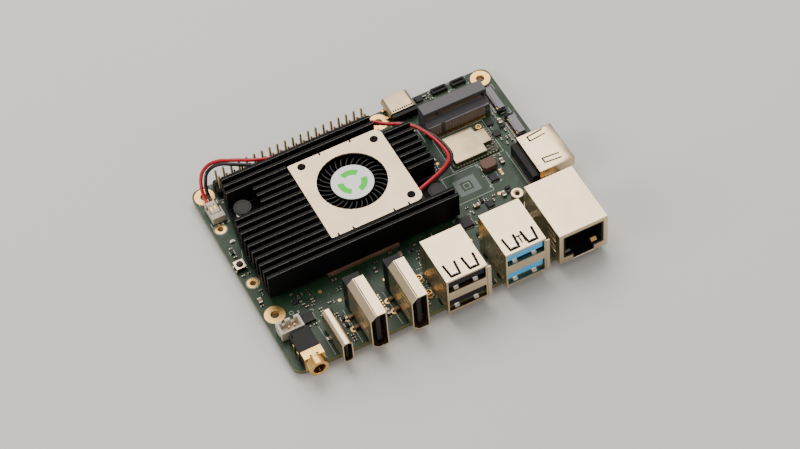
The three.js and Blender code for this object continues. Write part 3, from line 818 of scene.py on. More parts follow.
CARRIER = Finish(
    "chip_carrier", (0.17, 0.10, 0.055), (0.24, 0.15, 0.09), 0.5, 0.1, 0.0, 500.0, 6000.0, 0.2, (1, 1, 5)
)
TINNED_FILM = Finish("tinned_film", (0.075, 0.10, 0.095), (0.10, 0.13, 0.12), 0.45, 0.08, 0.2)
PAD = Finish("thermal_pad", (0.33, 0.35, 0.38), (0.28, 0.30, 0.33), 0.9, 0.05, 0.0, 500.0, 6000.0, 0.4)
CERAMIC = Finish("ceramic", (0.17, 0.105, 0.06), (0.24, 0.155, 0.095), 0.5, 0.08, 0.0, 900.0, 9000.0, 0.2)
CONTACT = Finish("contact_row", (0.42, 0.31, 0.21), (0.33, 0.24, 0.16), 0.45, 0.08, 0.3, 900.0, 9000.0, 0.1)
PIN_GOLD = Finish("pin_gold", (0.80, 0.68, 0.42), (0.72, 0.60, 0.36), 0.35, 0.06, 0.6, 900.0, 9000.0, 0.05)
FERRITE = Finish("ferrite", (0.10, 0.045, 0.032), (0.14, 0.07, 0.05), 0.62, 0.1, 0.0, 700.0, 7000.0, 0.4)
STEEL = Finish("plated_steel", (0.40, 0.38, 0.35), (0.30, 0.29, 0.27), 0.32, 0.08, 1.0, 500.0, 6000.0, 0.1)
INK = Finish("white_print", (0.50, 0.56, 0.50), (0.38, 0.44, 0.38), 0.55, 0.06, 0.0, 1500.0, 9000.0, 0.2)
LABEL = Finish("paper_label", (0.95, 0.94, 0.92), (0.92, 0.91, 0.89), 0.5, 0.05, 0.0, 400.0, 9000.0, 0.05)
GREEN = Finish(
    "green_print", (0.006, 0.66, 0.004), (0.010, 0.72, 0.006), 0.5, 0.05, 0.0, 500.0, 9000.0, 0.05
)
PAPER = Finish("floor", (0.74, 0.73, 0.71), (0.72, 0.71, 0.69), 0.7, 0.05, 0.0, 3.0, 800.0, 0.05)
RED_WIRE = Finish(
    "red_insulation", (0.52, 0.008, 0.022), (0.42, 0.006, 0.016), 0.3, 0.06, 0.0, 700.0, 7000.0, 0.1
)
BLACK_WIRE = Finish(
    "black_insulation", (0.010, 0.006, 0.006), (0.018, 0.011, 0.010), 0.3, 0.06, 0.0, 700.0, 7000.0, 0.1
)


def dress(piece: Piece, finish: Finish) -> Piece:
    """Gives a piece one finish all over.

    Args:
        piece: The piece to dress.
        finish: Its finish.

    Returns:
        The piece.
    """
    piece.data.materials.clear()
    piece.data.materials.append(material_of(finish))
    return piece


def dress_faces(piece: Piece, finish: Finish, chosen: Callable[[bpy.types.MeshPolygon], bool]) -> Piece:
    """Gives some faces of a piece a second finish.

    Args:
        piece: The piece, which has a finish already.
        finish: The second finish.
        chosen: Tells whether a face takes it.

    Returns:
        The piece.
    """
    piece.data.materials.append(material_of(finish))
    for face in piece.data.polygons:
        if chosen(face):
            face.material_index = len(piece.data.materials) - 1
    return piece


def dress_node(node: str, finish: Finish) -> None:
    """Gives a CAD node that stays in view its finish.

    Args:
        node: The CAD node's name.
        finish: Its finish.
    """
    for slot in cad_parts[node].material_slots:
        slot.material = material_of(finish)
    LOG.info("%s: dressed", node)


def block(
    name: str, x: Triple, y: Triple, z: Triple, finish: Finish, bevel: float = 0.08, segments: int = 2
) -> Piece:
    """Adds a box with rounded edges and a finish.

    Args:
        name: The object's name.
        x: Its lowest and highest x.
        y: The same along y.
        z: The same along z.
        finish: Its finish.
        bevel: The width of its rounded edges.
        segments: The segments of each rounded edge.

    Returns:
        The block.
    """
    return dress(soften(box(name, x, y, z), bevel, segments), finish)


def blocks(
    name: str,
    xs: Triple,
    ys: Triple,
    half: Triple,
    z: Triple,
    finish: Finish,
    bevel: float = 0.08,
    segments: int = 2,
) -> list[Piece]:
    """Stands a rounded block at every crossing of some columns and rows.

    Args:
        name: The blocks' name.
        xs: The columns' middles.
        ys: The rows' middles.
        half: Half a block's size along x and along y.
        z: A block's lowest and highest z.
        finish: Their finish.
        bevel: The width of their rounded edges.
        segments: The segments of each rounded edge.

    Returns:
        The blocks.
    """
    return [
        block(name, (x - half[0], x + half[0]), (y - half[1], y + half[1]), z, finish, bevel, segments)
        for x in xs
        for y in ys
    ]


def fit(piece: Piece, slot: str, *nodes: str, body: str = "computer") -> Piece:
    """Hands a finished piece to the frame.

    Args:
        piece: The finished piece.
        slot: The record's material slot; not used.
        *nodes: The CAD nodes that it stands for.
        body: The body that it rides on.

    Returns:
        The piece.
    """
    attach(piece, body)
    if nodes:
        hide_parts(*nodes)
    LOG.info("%s: %d faces on %s", piece.name, len(piece.data.polygons), body)
    return piece


# ---------- circuit board ----------
@dataclass
class Board:
    """The board's finish, its plated holes, its bare pads and its white print.

    Attributes:
        holes: The mounting holes' centres.
        hole: A mounting hole's radius.
        ring: The radius of its gold ring.
        vias: How many small holes stand round it.
        via_circle: The radius of the circle that they stand on.
        film: The thickness of the bare gold.
        eyelet: An eyelet's inner and outer radius.
        eyelets: The eyelets' centres.
        line: The width of a printed line.
        ink: The thickness of the print.
        outlines: Printed boxes with whole sides. The third is the window in an empty place for a chip.
        frames: Printed boxes of which only the corners show.
        strokes: Printed lines.
        dots: Printed pin-one dots.
        pads: Bare round pads, with their radius.
    """

    holes: Sequence[Triple] = (
        (3.5, 21.5), (3.5, 70.5), (61.5, 21.5), (61.5, 70.5), (96.5, 21.5), (96.5, 70.5),
    )
    hole: float = 1.35
    ring: float = 3.1
    vias: int = 8
    via_circle: float = 2.25
    film: float = 0.025
    eyelet: tuple[float, float] = (0.95, 1.75)
    eyelets: Sequence[Triple] = ((2.7, 57.1), (2.7, 34.7))
    line: float = 0.14
    ink: float = 0.02
    outlines: Sequence[tuple[float, float, float, float]] = (
        (72.4, 42.1, 89.2, 55.9), (67.8, 30.4, 79.7, 41.4), (71.5, 33.8, 75.3, 37.6),
        (72.5, 34.8, 74.3, 36.6),
    )
    frames: Sequence[tuple[float, float, float, float]] = (
        (79.2, 36.2, 85.5, 41.3), (93.3, 54.2, 98.4, 66.6), (93.9, 43.0, 98.9, 53.4), (8.9, 13.0, 13.8, 18.0),
        (63.6, 20.9, 69.2, 26.1), (43.4, 4.2, 47.0, 8.0), (43.4, 10.2, 46.9, 14.0), (80.2, 70.6, 86.5, 73.7),
        (86.9, 70.6, 92.6, 73.7), (6.6, 66.9, 59.2, 73.8), (64.2, 66.4, 74.6, 73.8), (79.9, 32.4, 83.4, 36.1),
        (0.9, 58.6, 6.3, 69.4),
    )
    strokes: Sequence[tuple[float, float, float, float]] = (
        (21.3, 0.5, 21.3, 13.4), (34.1, 0.5, 34.1, 13.4), (12.7, 0.5, 12.7, 11.6), (10.1, 0.6, 10.1, 11.6),
        (3.9, 44.5, 5.9, 49.6), (89.6, 24.4, 89.6, 41.4), (93.4, 54.6, 93.4, 66.2), (94.1, 43.4, 94.1, 53.0),
        (62.6, 0.6, 62.6, 14.2), (46.2, 15.6, 60.8, 15.6), (70.4, 56.4, 70.4, 64.2), (94.0, 56.4, 94.0, 64.2),
        (80.4, 18.9, 82.2, 18.9),
    )
    dots: Sequence[Triple] = (
        (8.3, 18.4), (86.1, 42.0), (69.8, 26.7), (79.4, 32.0), (7.4, 66.0), (66.9, 41.9),
    )
    pads: Sequence[Triple] = (
        (80.4, 28.4, 0.55), (81.6, 28.0, 0.55), (69.6, 44.9, 0.5), (69.7, 47.4, 0.5), (63.0, 17.4, 0.6),
        (64.7, 17.3, 0.6), (91.4, 20.6, 0.5), (91.6, 22.6, 0.5), (22.0, 16.9, 0.5), (26.4, 17.2, 0.5),
        (36.6, 17.1, 0.5), (18.4, 22.4, 0.6),
    )

    def plated(self, x: float, y: float, inner: float, outer: float) -> list[Piece]:
        """Makes a plated hole: a ring on each face and the wall between them.

        Args:
            x: The hole's x.
            y: The hole's y.
            inner: The hole's radius.
            outer: The rings' radius.

        Returns:
            The rings and the wall.
        """
        low = -BOARD_SIZE.z - self.film
        return [
            washer("ring", (x, y, 0), inner, outer, self.film),
            washer("ring", (x, y, low), inner, outer, self.film),
            washer("wall", (x, y, low), inner - 0.05, inner - 0.005, self.film - low),
        ]

    def rings(self) -> Piece:
        """Makes the gold ring around each mounting hole, on both faces, with its plated wall.

        Returns:
            The rings.
        """
        parts = []
        for x, y in self.holes:
            parts += self.plated(x, y, self.hole, self.ring)
            for i in range(self.vias):
                angle = math.radians(360 / self.vias * i + 22)
                across, along = self.via_circle * math.cos(angle), self.via_circle * math.sin(angle)
                parts.append(washer("via", (x + across, y + along, self.film), 0.14, 0.3, 0.03, sides=10))
        return dress(merge("mounting_rings", parts), GOLD)

    def lands(self) -> Piece:
        """Makes the bare gold pads: two eyelets, test points and the pads of an empty place for a chip.

        Returns:
            The pads.
        """
        parts = []
        for x, y in self.eyelets:
            parts += self.plated(x, y, *self.eyelet)
        for x, y, radius in self.pads:
            parts.append(drum("pad", (x, y, 0), radius, self.film, 16))
        for i in range(9):
            parts.append(drum("pad", (32.4, 4.7 + 1.06 * i, 0), 0.24, self.film, 10))
        parts.append(row(box("pad", (84.4, 85.1), (34.2, 34.7), (0, self.film)), 3, (0, 0.9, 0)))
        return dress(merge("bare_pads", parts), GOLD)

    def chip_place(self) -> Piece:
        """Makes the dull grey film in the middle of the empty place for a chip.

        Returns:
            The film, with a window in it.
        """
        x0, y0, x1, y1 = self.outlines[2]
        film = box("chip_place", (x0 - 1.5, x1 + 1.7), (y0 - 1.2, y1 + 1.2), (0, self.ink))
        return dress(carve(film, box("window", (x0, x1), (y0, y1), (-self.ink, 0.5))), TINNED_FILM)

    def print_lines(self) -> Piece:
        """Makes the white outlines, strokes and pin-one dots.

        Returns:
            The print.
        """
        parts = []
        z = self.ink / 2
        for sides, share in ((self.outlines, 0.51), (self.frames, 0.16)):
            for x0, y0, x1, y1 in sides:
                corners = [Vector(corner) for corner in ((x0, y0, z), (x1, y0, z), (x1, y1, z), (x0, y1, z))]
                for start, end in zip(corners, corners[1:] + corners[:1]):
                    gap = (end - start) * share
                    parts.append(bar_between("line", start, start + gap, self.line, self.ink))
                    parts.append(bar_between("line", end - gap, end, self.line, self.ink))
        for x0, y0, x1, y1 in self.strokes:
            parts.append(bar_between("line", (x0, y0, z), (x1, y1, z), self.line, self.ink))
        for x, y in self.dots:
            parts.append(drum("dot", (x, y, 0), 0.32, self.ink, 14))
        for x, y in self.eyelets:
            parts.append(washer("circle", (x, y, 0), 1.95, 2.08, self.ink, sides=28))
        parts.append(washer("circle", (7.9, 19.7, 0), 0.5, 0.65, self.ink, sides=20))
        return dress(merge("white_print", parts), INK)

    def solder(self) -> Piece:
        """Makes the solder cone at each tail under the board.

        Returns:
            The cones.
        """
        under = -BOARD_SIZE.z
        low, _ = node_box("gpio_header")
        pitch = PinHeader.pitch
        first = drum("cone", (low.x + pitch / 2, low.y + pitch / 2, under), 0.75, -0.75, 12, tip=0.36)
        cones = [row(row(first, PinHeader.columns, (pitch, 0, 0)), 2, (0, pitch, 0))]
        for node, lip, rows, radius in (
            ("usb2_shell", StackedUsb.flange, StackedUsb.legs, 1.25),
            ("usb3_shell", StackedUsb.flange, StackedUsb.legs, 1.25),
            ("network_port_shell", 0.0, NetworkPort.legs, 1.25),
            ("hdmi_1_shell", 0.0, UprightHdmi.legs, 1.2),
            ("hdmi_2_shell", 0.0, UprightHdmi.legs, 1.2),
        ):
            low, high = node_box(node)
            for x in (low.x + 0.2, high.x - lip - 0.2):
                for y in rows:
                    cones.append(drum("cone", (x, low.y + y, under), radius, -0.6, 14, tip=0.7))
        return dress(soften(outward(merge("tail_solder", cones)), 0.12), TIN)

    def build(self) -> None:
        """Builds and fits everything on the board itself."""
        dress_node("circuit_board", BOARD)
        fit(self.rings(), "gold")
        fit(self.lands(), "gold")
        fit(self.chip_place(), "steel")
        fit(self.print_lines(), "white_plastic")
        fit(self.solder(), "steel")


# ---------- small soldered parts ----------
class Small(Enum):
    """The small parts, with their length, width and height in millimetres."""

    CAPACITOR = (1.0, 0.5, 0.5)
    LARGE_CAPACITOR = (1.9, 1.2, 0.95)
    RESISTOR = (1.0, 0.5, 0.33)
    NETWORK = (1.9, 0.95, 0.4)
    TRANSISTOR = (1.6, 1.0, 0.75)
    CHIP = (2.2, 2.2, 0.75)


@dataclass
class SmallParts:
    """The capacitors, resistors and other small parts that stand in groups on the board.

    Attributes:
        seed: Starts the draw of their places.
        share: Where an end cap begins, from the middle, as a share of the length.
        gap: The room kept round a small part.
        clear: The room kept round a node.
        groups: Areas, as lowest and highest x and y, and how many parts each gets.
        fixed: Parts with a place of their own: kind, x, y and turn in degrees.
    """

    seed: int = 11
    share: float = 0.27
    gap: float = 0.16
    clear: float = 0.35
    groups: Sequence[tuple[float, float, float, float, int]] = (
        (9.4, 18.6, 15.6, 25.4, 13), (10.2, 12.2, 12.9, 13.4, 2), (14.3, 11.6, 21.0, 17.6, 9),
        (22.5, 18.6, 33.4, 24.6, 5), (28.9, 5.0, 33.8, 13.8, 5), (35.6, 20.4, 46.0, 24.8, 8),
        (42.0, 2.4, 46.2, 15.0, 7), (46.4, 14.4, 64.4, 24.8, 22), (61.8, 0.8, 65.2, 20.0, 9),
        (65.6, 15.4, 82.4, 20.2, 18), (67.0, 21.0, 79.4, 28.6, 14), (80.4, 25.6, 84.6, 29.4, 4),
        (84.4, 37.0, 88.0, 41.6, 3), (66.8, 41.8, 72.0, 56.0, 9), (89.4, 42.6, 93.6, 56.8, 9),
        (67.4, 56.2, 71.0, 68.0, 8), (74.6, 64.4, 94.0, 70.4, 16), (74.6, 70.4, 80.6, 73.6, 7),
        (0.8, 24.6, 4.0, 32.0, 4), (0.8, 43.4, 3.2, 50.2, 3), (0.8, 36.8, 4.0, 39.6, 2),
        (85.4, 18.6, 94.0, 22.6, 5), (16.8, 2.0, 20.6, 7.2, 4),
    )
    fixed: Sequence[tuple[Small, float, float, float]] = (
        (Small.LARGE_CAPACITOR, 86.7, 38.5, 90), (Small.LARGE_CAPACITOR, 89.3, 38.7, 90),
        (Small.CHIP, 90.4, 53.4, 0), (Small.CHIP, 90.3, 48.6, 0),
        (Small.TRANSISTOR, 20.0, 10.6, 90), (Small.TRANSISTOR, 20.0, 8.1, 90),
        (Small.LARGE_CAPACITOR, 84.6, 35.6, 90), (Small.TRANSISTOR, 93.2, 50.3, 0),
        (Small.LARGE_CAPACITOR, 67.3, 28.3, 0), (Small.LARGE_CAPACITOR, 72.2, 27.4, 0),
        (Small.CHIP, 76.2, 72.2, 0), (Small.LARGE_CAPACITOR, 1.8, 27.6, 90),
        (Small.CHIP, 76.0, 26.0, 0), (Small.TRANSISTOR, 10.4, 22.0, 0), (Small.TRANSISTOR, 43.3, 17.6, 0),
    )

    def prototype(self, kind: Small) -> Piece:
        """Models one small part at the board's corner.

        Args:
            kind: Which part it is.

        Returns:
            The part, dressed.
        """
        length, width, height = kind.value
        name = kind.name.lower()
        body = box(name, (-length / 2, length / 2), (-width / 2, width / 2), (SEAT * 0.4, height))
        if kind in (Small.TRANSISTOR, Small.CHIP):
            dress(soften(body, 0.1, 1), RESIN)
            count = 3 if kind is Small.TRANSISTOR else 4
            columns = [(i - (count - 1) / 2) * length / count * 0.95 for i in range(count)]
            feet = [
                box("foot", (x - 0.13, x + 0.13), (-width / 2 - 0.3, width / 2 + 0.3), (0.0, 0.18))
                for x in columns
            ]
            return merge(name, [body, dress(merge("feet", feet), TIN)])
        cap = length * self.share
        for x in (-cap, cap):
            with shaping(body):
                bpy.ops.mesh.bisect(plane_co=spot(x, 0, 0), plane_no=(1, 0, 0))
        middle = spot(0, 0, 0).x
        capacitor = kind in (Small.CAPACITOR, Small.LARGE_CAPACITOR)
        dress(body, CERAMIC if capacitor else RESIN)
        dress_faces(body, TIN, lambda face: abs(face.center.x - middle) > cap * MM)
        return soften(body, 0.06, 1)

    def occupied(self) -> list[tuple[float, float, float, float]]:
        """Lists the areas where no small part may stand.

        Returns:
            Their lowest x, lowest y, highest x and highest y.
        """
        taken = []
        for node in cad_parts:
            low, high = node_box(node)
            if node != "circuit_board" and not node.startswith("fan_wire") and low.z < 1.5:
                room = self.clear
                taken.append((low.x - room, low.y - room, high.x + room, high.y + room))
        for centres, room in ((Board.holes, 3.5), (Board.eyelets, 2.6)):
            taken += [(x - room, y - room, x + room, y + room) for x, y in centres]
        return [*taken, Board.outlines[1]]

    def places(self) -> list[tuple[Small, float, float, float]]:
        """Chooses a place for each small part, clear of the low CAD nodes other than the fan wires, and of
        the holes and eyelets.

        Returns:
            The kind, the place and the turn in degrees of each.
        """
        dice = random.Random(self.seed)
        taken = self.occupied()
        chosen = []

        def add(kind: Small, x: float, y: float, turn: float) -> None:
            """Notes a part's place if nothing stands there.

            Args:
                kind: Which part it is.
                x: Its middle's x.
                y: Its middle's y.
                turn: Its turn in degrees.
            """
            length, width, _ = kind.value
            wide, deep = (length, width) if turn % 180 == 0 else (width, length)
            dx, dy = wide / 2 + self.gap, deep / 2 + self.gap
            own = (x - dx, y - dy, x + dx, y + dy)
            if all(own[2] < t[0] or own[0] > t[2] or own[3] < t[1] or own[1] > t[3] for t in taken):
                taken.append(own)
                chosen.append((kind, x, y, turn))

        for kind, x, y, turn in self.fixed:
            add(kind, x, y, turn)
        common = [Small.CAPACITOR] * 5 + [Small.RESISTOR] * 5
        kinds = [*common, Small.LARGE_CAPACITOR, Small.NETWORK, Small.TRANSISTOR]
        for x0, y0, x1, y1, count in self.groups:
            wanted = len(chosen) + count
            for _ in range(count * 5):
                kind = dice.choice(kinds)
                turn = dice.choice((0, 90))
                x, y = dice.uniform(x0, x1), dice.uniform(y0, y1)
                run = dice.choice((1, 1, 2, 3))
                step = 1.0 if kind.value[1] < 0.9 else 1.6
                for i in range(run):
                    shift = (i * step, 0) if turn else (0, i * step)
                    if len(chosen) < wanted and x + shift[0] < x1 and y + shift[1] < y1:
                        add(kind, x + shift[0], y + shift[1], turn)
        return chosen

    def build(self) -> None:
        """Copies each kind to its places and fits one object for each kind."""
        places = self.places()
        for kind in Small:
            name = kind.name.lower()
            pattern = self.prototype(kind)
            own = [(x, y, turn) for k, x, y, turn in places if k is kind]
            parts = [copied(pattern, name, (x, y, 0), turn, (0, 0, 0)) for x, y, turn in own]
            bpy.data.objects.remove(pattern)
            if parts:
                fit(merge(f"small_{name}s", parts), "epoxy")


# ---------- cooler ----------
@dataclass
class Cooler:
    """The finned heatsink, its two sprung push pins and what lies under it."""

    head: float = 1.0
    stem: float = 1.2
    neck: float = -2.1
    barb: tuple[float, float] = (0.8, 1.85)
    coil: float = 1.95
    wire: float = 0.25
    turns: int = 4

    def push_pin(self, number: int) -> Piece:
        """Models one push pin: a dished head, a stem and a split barb.

        Args:
            number: Which pin it is.

        Returns:
            The pin.
        """
        low, high = node_box(f"push_pin_{number}")
        x, y = middle_of(low, high)
        under = high.z - self.head
        head = drum("head", (x, y, under), (high.x - low.x) / 2, self.head, 40)
        with shaping(head, facing(z=1)):
            bpy.ops.mesh.inset(thickness=0.55 * MM)
            bpy.ops.mesh.inset(thickness=0.25 * MM, depth=-0.14 * MM)
        soften(head, 0.2, 3)
        stem = soften(drum("stem", (x, y, self.neck), self.stem, under - self.neck, 24), 0.08)
        point, shoulder = self.barb
        barb = drum("barb", (x, y, low.z), point, self.neck + 0.1 - low.z, 24, tip=shoulder)
        split = box("split", (x - 0.3, x + 0.3), (y - 3, y + 3), (low.z - 1, 0.6))
        shank = carve(merge("shank", [stem, barb]), split)
        return dress(merge(f"push_pin_{number}_moulding", [head, soften(shank, 0.05, 1)]), PIN_BLACK)

    def spring(self, number: int) -> Piece:
        """Winds one push pin's spring, with closed ends.

        Args:
            number: Which pin it belongs to.

        Returns:
            The spring.
        """
        low, high = node_box(f"push_pin_spring_{number}")
        x, y = middle_of(low, high)
        deselect()
        bpy.ops.mesh.primitive_circle_add(
            vertices=10,
            radius=self.wire * MM,
            fill_type="NOTHING",
            location=spot(x, y, low.z + self.wire),
            rotation=(math.pi / 2, 0, 0),
        )
        coil = bpy.context.object
        bpy.ops.object.transform_apply(location=False, rotation=True, scale=True)
        coil.data.transform(Matrix.Translation((self.coil * MM, 0, 0)))
        rise = (high.z - low.z - 2 * self.wire) / self.turns
        apply_modifier(
            coil,
            "SCREW",
            axis="Z",
            angle=2 * math.pi,
            screw_offset=rise * MM,
            iterations=self.turns,
            steps=28,
            render_steps=28,
        )
        with shaping(coil):
            bpy.ops.mesh.remove_doubles(threshold=0.001 * MM)
            bpy.ops.mesh.select_all(action="DESELECT")
            bpy.ops.mesh.select_mode(type="EDGE")
            bpy.ops.mesh.select_non_manifold()
            bpy.ops.mesh.edge_face_add()
            bpy.ops.mesh.select_all(action="SELECT")
            bpy.ops.mesh.normals_make_consistent(inside=False)
        pick(coil)
        coil.name = f"push_pin_{number}_spring"
        bpy.ops.object.transform_apply(location=True, rotation=True, scale=True)
        bpy.ops.object.shade_smooth_by_angle(angle=math.radians(50))
        return dress(coil, BRIGHT)

    def build(self) -> None:
        """Builds and fits the cooler."""
        fit(dress(traced("heatsink", "finned_heatsink", 0.16, 2), ANODISED), "anodised", "heatsink")
        for number, side in ((1, "left"), (2, "right")):
            fit(self.push_pin(number), "black_plastic", f"push_pin_{number}", body=f"{side}_push_pin")
            node, slide = f"push_pin_spring_{number}", f"{side}_push_pin_slide"
            coil = fit(self.spring(number), "steel", node)
            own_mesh(coil)
        dress_node("main_processor", CARRIER)
        dress_node("thermal_pad", PAD)
        fit(dress(traced("memory_chip_1", "memory_chip", 0.08), RESIN), "epoxy", "memory_chip_1")


# ---------- blower ----------
@dataclass
class Blower:
    """The blower in the cooler's pocket: housing, cover plate, screws, rotor and hub label."""

    axis: tuple[float, float] = (41.6, 46.4)
    hub: float = 6.45
    web: tuple[float, float] = (5.8, 11.6)
    blades: int = 31
    blade_thick: float = 0.34
    sweep: float = 52.0
    arc: tuple[float, float] = (2.6, 4.5)
    arc_sweep: float = 78.0
    screw_head: float = 0.35
    tabs: Sequence[Triple] = ((29.75, 33.95), (47.75, 51.95))

    def blade(self, z: Triple) -> Piece:
        """Sweeps one curved blade out from the hub.

        Args:
            z: The blade's lowest and highest z.

        Returns:
            The blade.
        """
        x, y = self.axis
        root, half = x + self.hub - 0.6, self.blade_thick / 2
        wall = box("blade", (root, root + 0.3), (y - half, y + half), z)
        centre, angle = spot(x + 5.4, y - 6.6, 0), math.radians(self.sweep)
        with shaping(wall, facing(x=1)):
            bpy.ops.mesh.spin(steps=7, angle=angle, center=centre, axis=(0, 0, 1), dupli=False)
        return wall

    def rotor(self) -> Piece:
        """Models the rotor: a hub cup, a web and its ring of blades.

        Returns:
            The rotor.
        """
        low, high = node_box("fan_rotor")
        x, y = self.axis
        cup = soften(drum("cup", (x, y, low.z), self.hub, high.z - low.z, 56), 0.35, 3)
        web = washer("web", (x, y, low.z), *self.web, 0.35, sides=56)
        blades = [self.blade((low.z + 0.2, high.z - 0.6))]
        for i in range(1, self.blades):
            blades.append(copied(blades[0], "blade", turn=360 * i / self.blades, about=(x, y, 0)))
        ring = outward(merge("blades", blades))
        dress(soften(ring, 0.05, 1), BLADE)
        return merge("rotor", [dress(merge("cup", [cup, web]), BLACK), ring])

    def label(self) -> list[Piece]:
        """Models the round label on the hub, with three plain arcs.

        Returns:
            The label and its arcs.
        """
        low, high = node_box("fan_hub_label")
        x, y = self.axis
        inner, outer = self.arc
        disc = soften(drum("hub_label", (x, y, low.z), (high.x - low.x) / 2, high.z - low.z, 64), 0.04)
        arc = box("arc", (x + inner, x + outer), (y - 0.01, y + 0.01), (high.z, high.z + 0.02))
        sweep = math.radians(self.arc_sweep)
        with shaping(arc, facing(y=1)):
            bpy.ops.mesh.spin(steps=14, angle=sweep, center=spot(x, y, 0), axis=(0, 0, 1), dupli=False)
        arcs = [arc] + [copied(arc, "arc", turn=120 * i, about=(x, y, 0)) for i in (1, 2)]
        return [dress(disc, LABEL), dress(outward(merge("hub_label_arcs", arcs)), GREEN)]

    def screw(self, number: int) -> Piece:
        """Models one cross-head screw.

        Args:
            number: Which screw it is.

        Returns:
            The screw.
        """
        low, high = node_box(f"fan_screw_{number}")
        x, y = middle_of(low, high)
        under = high.z - self.screw_head
        head = soften(drum("head", (x, y, under), (high.x - low.x) / 2, self.screw_head, 28), 0.12, 3)
        slots = [
            box("slot", (x - dx, x + dx), (y - dy, y + dy), (high.z - 0.22, high.z + 1))
            for dx, dy in ((0.5, 0.1), (0.1, 0.5))
        ]
        carve(head, *slots)
        shank = drum("shank", (x, y, low.z), 0.45, high.z - 0.3 - low.z, 14)
        rim = washer("rim", (x, y, under - 0.03), 0.95, 1.25, 0.05, sides=28)
        return dress(merge(f"blower_screw_{number}", [head, shank, rim]), SCREW_BLACK)

    def plate(self) -> Piece:
        """Models the cover plate with its rounded corners, notches and folded tabs.

        Returns:
            The plate.
        """
        low, _ = node_box("fan_plate")
        sheet = (low.y + 0.02, low.y + 0.16)
        tabs = [soften(box("tab", x, sheet, (low.z - 0.75, low.z + 0.3)), 0.06) for x in self.tabs]
        return dress(merge("blower_plate", [traced("fan_plate", "plate", 0.1, 2), *tabs]), FAN_PLATE)

    def build(self) -> None:
        """Builds and fits the blower."""
        fit(dress(traced("fan_housing", "blower_housing", 0.12), BLACK), "black_plastic", "fan_housing")
        fit(self.plate(), "fan_plate", "fan_plate")
        fit(self.rotor(), "black_plastic", "fan_rotor", body="rotor")
        disc, mark = self.label()
        fit(disc, "white_plastic", "fan_hub_label", body="rotor")
        fit(mark, "white_plastic", body="rotor")
        for number in (1, 2, 3):
            fit(self.screw(number), "steel", f"fan_screw_{number}")


